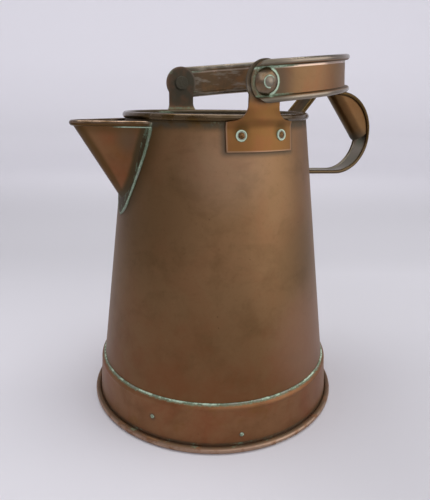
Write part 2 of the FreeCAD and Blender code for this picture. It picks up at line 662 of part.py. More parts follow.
def strap_offset(width):
    """How far from the axis the strap's middle lies, over a round of the given radius."""
    half = width / 2 - STRAP_EDGE_R

    def out(radius):
        beads = math.sqrt((radius + STRAP_EDGE_R + 2 * SEAT) ** 2 - half ** 2)
        return max(beads, radius + STRAP_SHEET / 2 + SEAT)
    return out


def strap_corners():
    """Corners of the strap's middle line, from its upper end round to its lower end."""
    top, low = strap_offset(STRAP_TOP_WIDTH), strap_offset(STRAP_LOW_WIDTH)
    outer_x = RIM_R + STRAP_OUTER[0]
    return [flat(top(wall_r(STRAP_START_Z)), STRAP_START_Z),
            flat(top(wall_r(STRAP_CRANK_Z)), STRAP_CRANK_Z),
            flat(top(RIM_R), CAN_HEIGHT - STRAP_RIM_DROP),
            flat(RIM_R + STRAP_CREST[0], CAN_HEIGHT + STRAP_CREST[1]),
            flat(outer_x, CAN_HEIGHT + STRAP_OUTER[1]),
            flat(outer_x, CAN_HEIGHT - STRAP_LOWER_DROP),
            flat(low(wall_r(STRAP_FOOT_Z)), STRAP_FOOT_Z),
            flat(low(wall_r(STRAP_END_Z)), STRAP_END_Z)]


def strap_path():
    """The strap's middle line: straight runs joined by bends."""
    corners = strap_corners()
    bends = (CRANK_BEND, CRANK_BEND, CREST_BEND, OUTER_BEND, LOWER_BEND, FOOT_BEND)
    edges, start = [], corners[0]
    for before, corner, after, bend in zip(corners, corners[1:], corners[2:], bends):
        back, on = (before - corner).normalize(), (after - corner).normalize()
        half = back.getAngle(on) / 2
        first, last = corner + back * (bend / math.tan(half)), corner + on * (bend / math.tan(half))
        inward = (back + on).normalize()
        middle = corner + inward * (bend / math.sin(half) - bend)
        edges += [line(start, first), arc(first, middle, last)]
        start = last
    return Part.Wire(edges + [line(start, corners[-1])])


def strap_width_at_crest():
    path = strap_path()
    before = sum(edge.Length for edge in path.Edges[:6])
    return STRAP_TOP_WIDTH + (STRAP_LOW_WIDTH - STRAP_TOP_WIDTH) * before / path.Length


def along_strap(section_at):
    """Sweeps a section along the strap, from its size at the upper end to its size at the lower end."""
    path = strap_path()
    first, last = path.Edges[0], path.Edges[-1]
    ends = [(path.Vertexes[0].Point, first.tangentAt(first.FirstParameter), STRAP_TOP_WIDTH),
            (path.Vertexes[-1].Point, last.tangentAt(last.LastParameter), STRAP_LOW_WIDTH)]
    wires = []
    for point, direction, width in ends:
        inward = Y_AXIS.cross(direction).normalize()
        wires.append(section_at(point, inward, direction, width / 2 - STRAP_EDGE_R))
    return path.makePipeShell(wires, True, False)


def strap_round(radius, sign):
    def section(point, inward, direction, half):
        return Part.Wire(Part.makeCircle(radius, point + Y_AXIS * (sign * half), direction))
    return along_strap(section)


def strap_band(thick, extra):
    """Plain sheet along the strap, as wide as the lines of its two edge wires and a little more."""
    def section(point, inward, direction, half):
        across, up = Y_AXIS * (half + extra), inward * (thick / 2)
        corners = [point - across - up, point + across - up, point + across + up, point - across + up]
        return Part.makePolygon(corners + corners[:1])
    return along_strap(section)


def handle_strap():
    """Strap with both edges rolled round wires."""
    strap = joined(strap_band(STRAP_SHEET, 0), *[strap_round(STRAP_EDGE_R, sign) for sign in (1, -1)])
    wires = [strap_round(STRAP_WIRE_R + FIT, sign) for sign in (1, -1)]
    return strap.cut(wires + [hole(STRAP_RIVET_R, on_wall(0, z)) for z in STRAP_RIVET_Z])


def handle_wires():
    return [strap_round(STRAP_WIRE_R, sign) for sign in (1, -1)]


def handle_rivets():
    """Two rivets through the wall at each end of the strap."""
    rivets = []
    for z in STRAP_RIVET_Z:
        width = STRAP_TOP_WIDTH if z > STRAP_FOOT_Z else STRAP_LOW_WIDTH
        stand_off = strap_offset(width)(wall_r(z)) - wall_r(z) + STRAP_SHEET / 2
        high = stand_off * math.cos(math.radians(WALL_LEAN)) + SEAT
        solid = rivet(STRAP_RIVET_R, STRAP_RIVET_HEAD_R, RIVET_HEAD_THICK, -SHEET - 3 * SEAT, high,
                      STRAP_RIVET_TAIL_R, RIVET_TAIL_HEIGHT)
        rivets.append(placed(solid, on_wall(0, z)))
    return rivets


def grasp_ridge():
    """Upper and lower end of the grasp's ridge, the upper one on the strap's middle line."""
    crest, outer = strap_corners()[3:5]
    share = (RIM_R + GRASP_TOP_OUT - crest.x) / (outer.x - crest.x)
    return crest + (outer - crest) * share, flat(RIM_R + GRASP_LOW[0], CAN_HEIGHT - GRASP_LOW[1])


def half_round(width, inset):
    """A bar with a half-round back along the ridge and straight sides reaching out past the strap."""
    upper, lower = grasp_ridge()
    along = (lower - upper).normalize()
    out = Y_AXIS.cross(along) * -1
    start = upper + out * inset - along * width
    radius = width / 2
    side = Y_AXIS * radius
    reach = out * STRAP_OUTER[0]
    wire = Part.Wire([arc(start + out * radius - side, start, start + out * radius + side),
                      line(start + out * radius + side, start + reach + side),
                      line(start + reach + side, start + reach - side),
                      line(start + reach - side, start + out * radius - side)])
    return Part.Face(wire).extrude(lower + out * inset - start)


def handle_grasp():
    """Hollow half-round soldered to the inside of the strap's outer bend, open at its lower end."""
    path = strap_path()
    loop = Part.Wire(path.Edges + [line(path.Vertexes[-1].Point, path.Vertexes[0].Point)])
    room = Part.Face(loop).extrude(Y_AXIS * BEYOND)
    room.translate(Y_AXIS * (-BEYOND / 2))
    shell = half_round(GRASP_WIDTH, 0).cut(half_round(GRASP_WIDTH - 2 * SHEET, SHEET))
    edges = [strap_round(STRAP_EDGE_R + SEAT, sign) for sign in (1, -1)]
    return shell.common(room).cut([strap_band(STRAP_SHEET + 2 * SEAT, STRAP_EDGE_R)] + edges)


def main():
    os.makedirs("parts", exist_ok=True)
    dome, pivot, sides = pivot_dome(), pivot_rivet(), (-1, 1)
    pieces = {
        "can_shell": [can_shell()],
        "rim_wire": [ring(RIM_CENTRE_R, RIM_Z, RIM_WIRE_R)],
        "base": [base()],
        "foot_band": [foot_band()],
        "foot_wire": [ring(FOOT_CENTRE_R, FOOT_BEAD_Z, FOOT_WIRE_R)],
        "foot_solder": [foot_solder()],
        "foot_pins": foot_pins(),
        "spout_shell": [spout_shell()],
        "spout_wire": [spout_wire()],
        "spout_solder": [spout_solder()],
        "left_ear": [ear(-1)],
        "right_ear": [ear(1)],
        "ear_rivets": ear_rivets(),
        "ear_burrs": ear_burrs(),
        "pivot_rivets": [placed(pivot, on_hinge(side)) for side in sides],
        "pivot_domes": [placed(dome, on_hinge(side)) for side in sides],
        "handle_strap": [handle_strap()],
        "handle_wires": handle_wires(),
        "handle_rivets": handle_rivets(),
        "handle_grasp": [handle_grasp()],
        "bail_strap": [bail_strap()],
        "bail_upper_wire": [bail_wire(1)],
        "bail_lower_wire": [bail_wire(-1)],
    }
    for name, shapes in pieces.items():
        solids = [solid for shape in shapes for solid in shape.Solids]
        shape = solids[0] if len(solids) == 1 else Part.makeCompound(solids)
        shape.exportStep(f"parts/{name}.step")


main()
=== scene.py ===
"""Looks of a sheet copper hot water can: its patina, verdigris, solder beads and hammered rivets.

Metres, in the CAD model's own frame: +Z up, the spout towards -X and the side handle towards +X.
"""

import json
import math

import bpy
from mathutils import Matrix, Vector

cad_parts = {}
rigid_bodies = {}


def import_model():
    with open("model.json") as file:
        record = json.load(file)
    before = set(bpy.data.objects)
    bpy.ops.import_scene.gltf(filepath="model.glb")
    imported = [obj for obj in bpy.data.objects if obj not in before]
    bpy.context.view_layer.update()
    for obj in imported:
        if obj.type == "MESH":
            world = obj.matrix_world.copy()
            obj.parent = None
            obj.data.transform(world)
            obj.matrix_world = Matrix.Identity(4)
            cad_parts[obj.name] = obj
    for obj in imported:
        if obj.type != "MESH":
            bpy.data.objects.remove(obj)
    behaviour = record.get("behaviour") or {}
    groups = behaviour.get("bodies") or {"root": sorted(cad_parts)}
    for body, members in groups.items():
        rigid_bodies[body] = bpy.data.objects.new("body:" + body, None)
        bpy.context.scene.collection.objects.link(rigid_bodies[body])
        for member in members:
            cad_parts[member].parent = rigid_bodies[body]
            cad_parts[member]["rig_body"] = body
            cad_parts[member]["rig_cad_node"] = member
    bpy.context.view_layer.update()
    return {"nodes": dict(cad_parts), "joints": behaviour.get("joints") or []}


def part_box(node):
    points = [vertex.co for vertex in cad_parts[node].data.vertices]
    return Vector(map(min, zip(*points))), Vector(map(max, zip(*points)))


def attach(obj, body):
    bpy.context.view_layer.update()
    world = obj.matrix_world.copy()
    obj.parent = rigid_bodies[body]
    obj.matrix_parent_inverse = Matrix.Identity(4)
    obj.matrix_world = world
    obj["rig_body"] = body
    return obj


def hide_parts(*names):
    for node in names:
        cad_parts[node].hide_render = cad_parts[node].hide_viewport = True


bl_info = {
    "name": "Copper Hot Water Can",
    "version": (1, 0, 0),
    "blender": (4, 5, 0),
    "location": "3D View > Sidebar > Water Can",
    "description": "Dresses a copper hot water can in old metal and sets it on a pale studio floor",
    "category": "Object",
}

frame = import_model()
NODES = frame["nodes"]
MM = 0.001


def mm(x, y, z):
    """A place or a step given in millimetres."""
    return Vector((x, y, z)) * MM


# ---- places read from the CAD nodes ----

WALL_LOW, WALL_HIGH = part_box("can_shell")
WALL_FOOT_R = WALL_HIGH.x        # outside radius of the wall at its lower end
WALL_PLAIN = (0.12, 0.22)        # heights between which nothing but the wall itself stands out
# how far the wall leans in for each metre up: least at its outside, as the inside lies further in
WALL_TAPER = min((WALL_FOOT_R - vertex.co.xy.length) / (vertex.co.z - WALL_LOW.z)
                 for vertex in NODES["can_shell"].data.vertices
                 if WALL_PLAIN[0] < vertex.co.z < WALL_PLAIN[1])
RIM_TOP = WALL_HIGH.z
RIM_FOOT = RIM_TOP - 5.2 * MM    # underside of the rolled rim
SEAM_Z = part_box("foot_solder")[0].z
SPOUT_LOW, SPOUT_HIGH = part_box("spout_shell")
SPOUT_TOP = SPOUT_HIGH.z
HINGE = frame["joints"][0]
HINGE_HEIGHT = HINGE["pos_m"][2]
HINGE_RISE = HINGE["axis"][2] / HINGE["axis"][1]
PIVOT_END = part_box("pivot_rivets")[1].y - 3 * MM     # where the rivets come out of the domed washers
PIVOT_HEIGHT = {side: HINGE_HEIGHT + side * HINGE_RISE * PIVOT_END for side in (-1, 1)}
BURR_LOW, BURR_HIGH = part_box("ear_burrs")
EAR_LOW, EAR_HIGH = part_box("left_ear")


def wall_radius(z):
    """Outside radius of the can's wall at a height."""
    return WALL_FOOT_R - WALL_TAPER * (z - WALL_LOW.z)


# ---- settings that a user would change ----

def tint(name, description, colour):
    return bpy.props.FloatVectorProperty(
        name=name, description=description, default=colour, subtype="COLOR", size=3, min=0, max=1)


def share(name, description, default):
    return bpy.props.FloatProperty(
        name=name, description=description, default=default, min=0, max=1, subtype="FACTOR")


def length(name, description, default, least, most):
    return bpy.props.FloatProperty(
        name=name, description=description, default=default, min=least, max=most, unit="LENGTH")


def power(name, description, default):
    return bpy.props.FloatProperty(
        name=name, description=description, default=default, min=0, unit="POWER")


class WaterCanMetal(bpy.types.PropertyGroup):
    """Colours and age of the metal"""
    brown: tint("Brown patina", "Colour of the copper's even brown skin", (0.250, 0.142, 0.067))
    # the dark patina is also laid as painted shade, and as the painted dark reflection of glossy edges
    dark: tint("Dark patina", "Colour where the skin has gone deep brown", (0.072, 0.041, 0.011))
    red: tint("Red bloom", "Colour of the reddish clouds low on the can", (0.235, 0.085, 0.036))
    orange: tint("Rubbed copper", "Colour where hands keep the copper bright", (0.205, 0.097, 0.028))
    # the olive is also laid as painted shade inside the can, under its rim and in the spout's fold
    olive: tint("Olive grime", "Colour of grime in corners and on the ears' heads", (0.062, 0.055, 0.034))
    # the worn colour is also laid as painted highlight on the breast, in the bail's hollow and along the
    # ears' plates
    worn: tint("Worn edge", "Colour of bare copper on rolled edges", (0.50, 0.37, 0.28))
    grey: tint("Worn grey", "Colour of the tinned skin left on the domed washers", (0.30, 0.28, 0.23))
    mint: tint("Verdigris", "Colour of the thin green salts", (0.17, 0.235, 0.145))
    salt: tint("Pale salts", "Colour of the driest, palest salts", (0.50, 0.63, 0.48))
    solder: tint("Solder", "Colour of old soft solder", (0.30, 0.31, 0.25))
    gloss: share("Gloss", "How much smoother than matte the patina is", 0.52)
    lacquer: share("Lacquer", "How much of a clear waxy skin lies over the copper", 0.05)


class WaterCanBeads(bpy.types.PropertyGroup):
    """Solder beads and hammered rivets"""
    seam_radius: length("Seam bead", "Radius of the bead of solder on the foot band's seam",
                        0.75 * MM, 0.3 * MM, 2 * MM)
    lumps: length("Lumps", "How far the solder's surface wanders", 0.45 * MM, 0, 1.5 * MM)
    lump_size: length("Lump size", "Length of one lump along a bead", 5 * MM, 1 * MM, 20 * MM)
    dents: length("Hammer dents", "Depth of the dents on the hammered rivet ends", 0.4 * MM, 0, 1 * MM)


class WaterCanStage(bpy.types.PropertyGroup):
    """Floor, backdrop and lamps"""
    floor: tint("Floor", "Colour of the floor and backdrop", (0.72, 0.71, 0.75))
    window_power: power("Window", "Power of the large soft window on the right", 7)
    front_power: power("Front", "Power of the soft light in front", 3.4)
    ceiling_power: power("Ceiling", "Power of the soft light overhead", 12.5)
    wash_power: power("Wash", "Power of the light on the backdrop", 8.5)
    room: tint("Room", "Colour of the light from the rest of the room", (0.33, 0.325, 0.345))


# ---- nodes of a metal finish ----

BARE_EDGE_ROUGH = 0.22
LACQUER_ROUGH = 0.3
CRUST_HEIGHT = 0.12 * MM         # of salts over bare metal
CRUST, FINE_CRUST = 2.4 * MM, 1.6 * MM               # size of the lumps in a crust of salts


class Finish:
    """A material in the making: coats laid over one another, each with its own mask."""

    def __init__(self, name, colour, rough, metal=1.0):
        self.material = bpy.data.materials.new(name)
        self.material.use_nodes = True
        self.tree = self.material.node_tree
        self.tree.nodes.clear()
        self.place = self.node("ShaderNodeTexCoord").outputs["Object"]
        apart = self.node("ShaderNodeSeparateXYZ", self.place)
        self.x, self.y, self.z = apart.outputs
        self.colour, self.rough, self.metal = colour, rough, metal
        self.relief = None

    def node(self, kind, *inputs, **settings):
        made = self.tree.nodes.new(kind)
        for key, value in settings.items():
            setattr(made, key, value)
        for socket, value in zip(made.inputs, inputs):
            self.feed(socket, value)
        return made

    def feed(self, socket, value):
        if value is None:
            return
        if isinstance(value, bpy.types.NodeSocket):
            self.tree.links.new(value, socket)
        elif socket.type == "RGBA" and len(value) == 3:
            socket.default_value = (*value, 1)
        else:
            socket.default_value = value

    def sum(self, operation, first, second=None, third=None, clamp=False):
        return self.node("ShaderNodeMath", first, second, third,
                         operation=operation, use_clamp=clamp).outputs[0]

    def fade(self, value, low, high):
        """0 below low and 1 above high, smooth between; low may be the larger one."""
        made = self.node("ShaderNodeMapRange", value, low, high, interpolation_type="SMOOTHSTEP")
        return made.outputs[0]

    def band(self, value, low, high, soft):
        """1 between low and high, fading out over soft on both sides."""
        return self.sum("MULTIPLY", self.fade(value, low - soft, low), self.fade(value, high + soft, high))

    def all_of(self, *masks):
        result = masks[0]
        for mask in masks[1:]:
            result = self.sum("MULTIPLY", result, mask)
        return result

    def any_of(self, *masks):
        result = masks[0]
        for mask in masks[1:]:
            result = self.sum("MAXIMUM", result, mask)
        return result

    def clouds(self, size, detail=4.0, roughness=0.55, stretch=(1, 1, 1), shift=0.0, warp=0.0):
        """Noise from 0 to 1 whose lumps are about one size across, longer along an axis by its stretch."""
        moved = self.node("ShaderNodeMapping", self.place, (shift, shift * 0.7, shift * 1.3), (0, 0, 0),
                          tuple(1 / s for s in stretch)).outputs[0]
        made = self.node("ShaderNodeTexNoise", noise_dimensions="3D")
        self.feed(made.inputs["Vector"], moved)
        self.feed(made.inputs["Scale"], 1 / size)
        self.feed(made.inputs["Detail"], detail)
        self.feed(made.inputs["Roughness"], roughness)
        self.feed(made.inputs["Distortion"], warp)
        return made.outputs["Fac"]

    def specks(self, size, width, shift=0.0):
        """Small round spots, one in each cell of this size."""
        moved = self.node("ShaderNodeMapping", self.place, (shift, shift, shift)).outputs[0]
        made = self.node("ShaderNodeTexVoronoi", feature="F1")
        self.feed(made.inputs["Vector"], moved)
        self.feed(made.inputs["Scale"], 1 / size)
        return self.fade(made.outputs["Distance"], width, width * 0.3)

    def away(self, point):
        """Distance from a point."""
        gap = self.node("ShaderNodeVectorMath", self.place, point, operation="DISTANCE")
        return gap.outputs["Value"]

    def spot(self, point, reach, core):
        """1 within core of a point and 0 beyond reach, or the other way round where reach is the smaller."""
        return self.fade(self.away(point), reach, core)

    def across(self, x, y):
        """Length of the hypotenuse over two runs at right angles."""
        flat = self.node("ShaderNodeCombineXYZ", x, y, 0.0).outputs[0]
        return self.node("ShaderNodeVectorMath", flat, operation="LENGTH").outputs["Value"]

    def from_axis(self):
        """Distance from the can's upright axis."""
        return self.across(self.x, self.y)

    def along(self, direction):
        """Distance along a direction from the origin."""
        run = self.node("ShaderNodeVectorMath", self.place, direction, operation="DOT_PRODUCT")
        return run.outputs["Value"]

    def off_wall(self):
        """How far out a point lies from the can's outside surface; negative inside it."""
        face = self.sum("MULTIPLY_ADD", self.z, WALL_TAPER, -(WALL_FOOT_R + WALL_TAPER * WALL_LOW.z))
        return self.sum("ADD", self.from_axis(), face)

    def mix(self, mask, first, second, colour=True):
        kind, a, b, out = ("RGBA", 6, 7, 2) if colour else ("FLOAT", 2, 3, 0)
        made = self.node("ShaderNodeMix", data_type=kind, clamp_factor=True)
        self.feed(made.inputs[0], mask)
        self.feed(made.inputs[a], first)
        self.feed(made.inputs[b], second)
        return made.outputs[out]

    def lay(self, mask, colour=None, rough=None, metal=None):
        """Lays a coat over what is there, where the mask is 1."""
        if colour is not None:
            self.colour = self.mix(mask, self.colour, colour)
        if rough is not None:
            self.rough = self.mix(mask, self.rough, rough, colour=False)
        if metal is not None:
            self.metal = self.mix(mask, self.metal, metal, colour=False)

    def raise_by(self, height, mask=None):
        """Adds to the relief, in metres."""
        if mask is not None:
            height = self.sum("MULTIPLY", height, mask)
        self.relief = height if self.relief is None else self.sum("ADD", self.relief, height)

    def done(self):
        """Joins the coats to a shader and gives the finished material."""
        shader = self.node("ShaderNodeBsdfPrincipled")
        self.feed(shader.inputs["Base Color"], self.colour)
        self.feed(shader.inputs["Roughness"], self.rough)
        self.feed(shader.inputs["Metallic"], self.metal)
        if self.relief is not None:
            bump = self.node("ShaderNodeBump")
            self.feed(bump.inputs["Strength"], 1.0)
            self.feed(bump.inputs["Distance"], 1.0)
            self.feed(bump.inputs["Height"], self.relief)
            self.feed(shader.inputs["Normal"], bump.outputs[0])
        lacquered = self.metal != 0.0
        shader.inputs["Coat Weight"].default_value = metal_settings().lacquer if lacquered else 0.0
        shader.inputs["Coat Roughness"].default_value = LACQUER_ROUGH
        out = self.node("ShaderNodeOutputMaterial")
        self.tree.links.new(shader.outputs[0], out.inputs[0])
        return self.material


def metal_settings():
    return bpy.context.scene.water_can_metal


def old_copper(name, red=0.4, dark=0.35, shift=0.0):
    """Brown copper with soft clouds of red and dark, faint upright streaks and fine pitting."""
    tones = metal_settings()
    rough = 1 - tones.gloss
    finish = Finish(name, tones.brown, rough)
    clouds = finish.clouds(38 * MM, 5, 0.6, shift=shift, warp=0.6)
    smears = finish.clouds(16 * MM, 4, 0.62, stretch=(1.6, 1.6, 1), shift=shift + 3, warp=1.2)
    fine = finish.clouds(2.2 * MM, 4, 0.65, shift=shift + 5)
    finish.lay(finish.all_of(finish.fade(clouds, 0.42, 0.68), red), tones.red)
    shades = finish.clouds(26 * MM, 5, 0.62, shift=shift + 9)
    finish.lay(finish.all_of(finish.fade(shades, 0.46, 0.74), dark), tones.dark, rough + 0.08)
    finish.lay(finish.all_of(finish.fade(smears, 0.5, 0.72), 0.16), tones.dark, rough - 0.06)
    finish.lay(finish.all_of(finish.fade(fine, 0.52, 0.8), 0.18), tones.dark, rough + 0.08)
    finish.lay(finish.all_of(finish.specks(11 * MM, 0.07, shift), finish.fade(fine, 0.45, 0.6), 0.55),
               tones.dark, 0.7)
    finish.raise_by(finish.sum("MULTIPLY", fine, 0.04 * MM))
    finish.raise_by(finish.sum("MULTIPLY", clouds, 0.25 * MM))
    return finish


def salts(finish, mask, amount=1.0, size=CRUST):
    """Green salts that thicken to pale crust where the mask is strongest."""
    tones = metal_settings()
    grain = finish.clouds(size, 5, 0.7, shift=21)
    reach = finish.sum("MULTIPLY_ADD", mask, 0.9 * amount, finish.sum("MULTIPLY_ADD", grain, 0.9, -0.75))
    finish.lay(finish.all_of(finish.fade(reach, 0.0, 0.34), 0.9), tones.mint, 0.7, 0.3)
    finish.lay(finish.fade(reach, 0.34, 0.62), tones.salt, 0.85, 0.0)
    finish.raise_by(finish.sum("MULTIPLY", finish.fade(reach, 0.0, 0.6), CRUST_HEIGHT))


def grime_and_shade(finish, mask, strength=0.8):
    """Olive-brown dirt held in corners; in some places laid as painted shade."""
    tones = metal_settings()
    finish.lay(finish.all_of(mask, strength), tones.olive, 0.72, 0.5)


def painted_dark_gloss(finish, mask, strength=0.5):
    """Smooth metal of a rolled edge, painted dark as a painted reflection of a darker room, so that it shows
    sharp lights.
    """
    finish.lay(finish.all_of(mask, strength), metal_settings().dark)
    finish.lay(mask, rough=BARE_EDGE_ROUGH)


def dress(material, *nodes):
    """Gives CAD nodes a finish in place of their plain one."""
    for node in nodes:
        slots = NODES[node].data.materials
        slots.clear()
        slots.append(material)


# ---- modelling ----

def only(*objects):
    bpy.ops.object.select_all(action="DESELECT")
    for each in objects:
        each.select_set(True)
    if objects:
        bpy.context.view_layer.objects.active = objects[0]


def edit(piece, work):
    """Runs edit-mode operators on all of an object's faces."""
    only(piece)
    bpy.ops.object.mode_set(mode="EDIT")
    bpy.ops.mesh.select_all(action="SELECT")
    work()
    bpy.ops.object.mode_set(mode="OBJECT")


def evened(piece, face):
    """Remeshes a piece into faces of one size."""
    only(piece)
    modifier = piece.modifiers.new("even_mesh", "REMESH")
    modifier.mode = "VOXEL"
    modifier.voxel_size = face
    bpy.ops.object.modifier_apply(modifier="even_mesh")


def smoothed(piece, times):
    edit(piece, lambda: bpy.ops.mesh.vertices_smooth(factor=0.5, repeat=times))


def lumpy(piece, size, strength, name):
    """Pushes a mesh in and out with cloud noise and applies it."""
    texture = bpy.data.textures.new(name, "CLOUDS")
    texture.noise_scale = size
    texture.noise_depth = 2
    only(piece)
    modifier = piece.modifiers.new(name, "DISPLACE")
    modifier.texture = texture
    modifier.texture_coords = "LOCAL"
    modifier.strength = strength
    modifier.mid_level = 0.5
    bpy.ops.object.modifier_apply(modifier=name)


def copy_of(node, name):
    """A merged copy of a CAD node to work on."""
    only()
    piece = NODES[node].copy()
    piece.data = NODES[node].data.copy()
    piece.name = piece.data.name = name
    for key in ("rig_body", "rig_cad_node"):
        if key in piece:
            del piece[key]
    piece.parent = None
    bpy.context.scene.collection.objects.link(piece)
    edit(piece, lambda: (bpy.ops.mesh.customdata_custom_splitnormals_clear(),
                         bpy.ops.mesh.remove_doubles(threshold=0.002 * MM),
                         bpy.ops.mesh.normals_make_consistent(inside=False)))
    return piece


def settle(piece, material, body, slot, *replaced):
    """Finishes a modelled piece and ties it to the body that it moves with."""
    piece.data.materials.clear()
    piece.data.materials.append(material)
    only(piece)
    bpy.ops.object.shade_smooth_by_angle(angle=math.radians(40))
    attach(piece, body)
    if replaced:
        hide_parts(*replaced)


# ---- the can ----

BREAST = mm(4, -78, 196)         # between the spout and the near ear; the wall is painted darker away from here as shade, so it stays paler
BREAST_HIGHLIGHT = mm(-24, -74, 208)       # the middle of a painted highlight on the breast
ROSY = mm(52, -84, 70)           # a pale red patch low on the handle's side
PAINTED_SHADES = ((mm(-82, -38, 178), 75 * MM, 0.42), (mm(37, -80, 138), 46 * MM, 0.3))   # painted shade on the wall: place, reach and depth
LIMED = Vector((-20 * MM, 66 * MM, RIM_TOP - 6 * MM))      # where lime is thick inside the far wall
# places along the rim, reach and strength
RIM_SALTS = ((-30, -64, 14 * MM, 1.0), (-52, -45, 20 * MM, 0.7), (30, 64, 14 * MM, 1.0))


class WATERCAN_OT_can(bpy.types.Operator):
    """Dress the can's wall, its rim wire and its base"""
    bl_idname = "water_can.can"
    bl_label = "Can"
    bl_options = {"REGISTER", "UNDO"}

    def execute(self, context):
        tones = metal_settings()
        wall = old_copper("can_wall_copper", red=0.2, dark=0.28)
        out = wall.off_wall()
        ripple = wall.clouds(9 * MM, 3, 0.6, shift=31)
        low = wall.fade(wall.sum("MULTIPLY_ADD", ripple, 60 * MM, wall.z), 150 * MM, 60 * MM)
        patches = wall.fade(wall.clouds(22 * MM, 4, 0.6, shift=13), 0.35, 0.62)
        wall.lay(wall.all_of(low, wall.sum("MULTIPLY_ADD", patches, 0.4, 0.3)), tones.red)
        # painted shade: the brown is deeper away from the breast
        wall.lay(wall.all_of(wall.spot(BREAST, 45 * MM, 125 * MM), 0.32), tones.dark)
        # more painted shade on the flanks
        for place, reach, depth in PAINTED_SHADES:
            wall.lay(wall.all_of(wall.spot(place, reach, 12 * MM), depth), tones.dark)
        # a painted highlight, in the worn colour, at the breast's palest part
        wall.lay(wall.all_of(wall.spot(BREAST_HIGHLIGHT, 44 * MM, 8 * MM), 0.14), tones.worn)
        rosy = wall.spot(ROSY, 60 * MM, 15 * MM)
        wall.lay(wall.all_of(rosy, 0.22), tones.worn)
        wall.lay(wall.all_of(rosy, 0.3), tones.red)
        self.corners(wall, ripple)
        # a glossy rim painted dark as its reflection, with a worn crown, and a line of salts at the foot
        # band's seam
        painted_dark_gloss(wall, wall.fade(wall.z, RIM_FOOT, RIM_FOOT + 0.6 * MM), 0.88)
        wall.lay(wall.all_of(wall.fade(wall.z, RIM_TOP - 2.6 * MM, RIM_TOP - 1.2 * MM),
                             wall.fade(ripple, 0.3, 0.7), 0.12), tones.worn)
        salts(wall, wall.fade(wall.z, SEAM_Z + 3.0 * MM, SEAM_Z), 0.55)
        # inside: dark and olive as painted shade, limed and dull
        inside = wall.all_of(wall.fade(out, -0.3 * MM, -0.6 * MM),
                             wall.fade(wall.z, RIM_TOP, RIM_TOP - 2 * MM))
        wall.lay(inside, tones.dark, 0.6)
        grime_and_shade(wall, inside, 0.5)
        thin = wall.fade(wall.clouds(30 * MM, 4, 0.6, shift=41), 0.5, 0.75)
        limed = wall.any_of(wall.all_of(thin, 0.55), wall.spot(LIMED, 20 * MM, 4 * MM))
        salts(wall, wall.all_of(inside, limed), 0.6)
        dress(wall.done(), "can_shell")

        wire = old_copper("wire_copper", red=0.2, dark=0.6, shift=2)
        dress(wire.done(), "rim_wire", "foot_wire", "spout_wire", "handle_wires",
              "bail_upper_wire", "bail_lower_wire")

        base = old_copper("base_copper", red=0.3, dark=0.8, shift=4)
        salts(base, base.all_of(base.fade(base.from_axis(), 70 * MM, 100 * MM), 0.5), 0.9)
        scratches = base.clouds(3 * MM, 3, 0.6, stretch=(6, 1, 1), shift=8)
        base.lay(base.all_of(base.fade(scratches, 0.6, 0.72), 0.5), tones.worn, 0.4)
        dress(base.done(), "base")
        return {"FINISHED"}

    def corners(self, wall, ripple):
        """Painted shade on the wall beside the spout and under the rim, salts there, and dirt round the ears'
        plates.
        """
        tones = metal_settings()
        above_tip = wall.fade(wall.z, SPOUT_LOW.z - 14 * MM, SPOUT_LOW.z + 10 * MM)
        # painted shade on the wall along the spout's flange, where the flange casts its shadow
        wall.lay(wall.all_of(spout_edge(wall, 16 * MM), above_tip, 0.7), tones.dark)
        salts(wall, wall.all_of(spout_edge(wall, 2.6 * MM), above_tip), 0.6)
        # painted shade under the rim: dark and olive a few millimetres down, with a painted shadow line right
        # under the rolled edge
        wall.lay(wall.all_of(wall.fade(wall.z, RIM_FOOT - 8 * MM, RIM_FOOT), 0.85), tones.dark, 0.5)
        grime_and_shade(wall, wall.all_of(wall.fade(wall.z, RIM_FOOT - 7 * MM, RIM_FOOT - 2 * MM),
                                wall.fade(ripple, 0.3, 0.55)), 0.7)
        painted_shadow_line = wall.band(wall.z, RIM_FOOT - 0.8 * MM, RIM_FOOT + 0.6 * MM, 0.5 * MM)
        wall.lay(wall.all_of(painted_shadow_line, 0.8), tones.dark, 0.6)
        salty = []
        for x, y, reach, strength in RIM_SALTS:
            place = Vector((x * MM, y * MM, RIM_FOOT - 3 * MM))
            salty.append(wall.all_of(wall.spot(place, reach, 3 * MM), strength))
        under_rim = wall.fade(wall.z, RIM_FOOT - 10 * MM, RIM_FOOT - 2 * MM)
        salts(wall, wall.all_of(wall.any_of(*salty), under_rim), 0.36, FINE_CRUST)
        for side in (-1, 1):
            plate = wall.all_of(wall.fade(wall.sum("ABSOLUTE", wall.x), EAR_HIGH.x + 5 * MM, EAR_HIGH.x),
                                wall.fade(wall.z, EAR_LOW.z - 5 * MM, EAR_LOW.z),
                                wall.fade(wall.sum("MULTIPLY", wall.y, side), 50 * MM, 55 * MM))
            grime_and_shade(wall, plate, 0.65)


FLANGE_DROP = 68.3 * MM          # height of the spout's flange
# half its width at shares of that height, both as shares of the whole; the first two are the curve's ends
FLANGE_HALVES = ((0.0, 1.0), (1.0, 0.0), (0.2, 0.94), (0.42, 0.8), (0.65, 0.6), (0.82, 0.415), (0.95, 0.19))


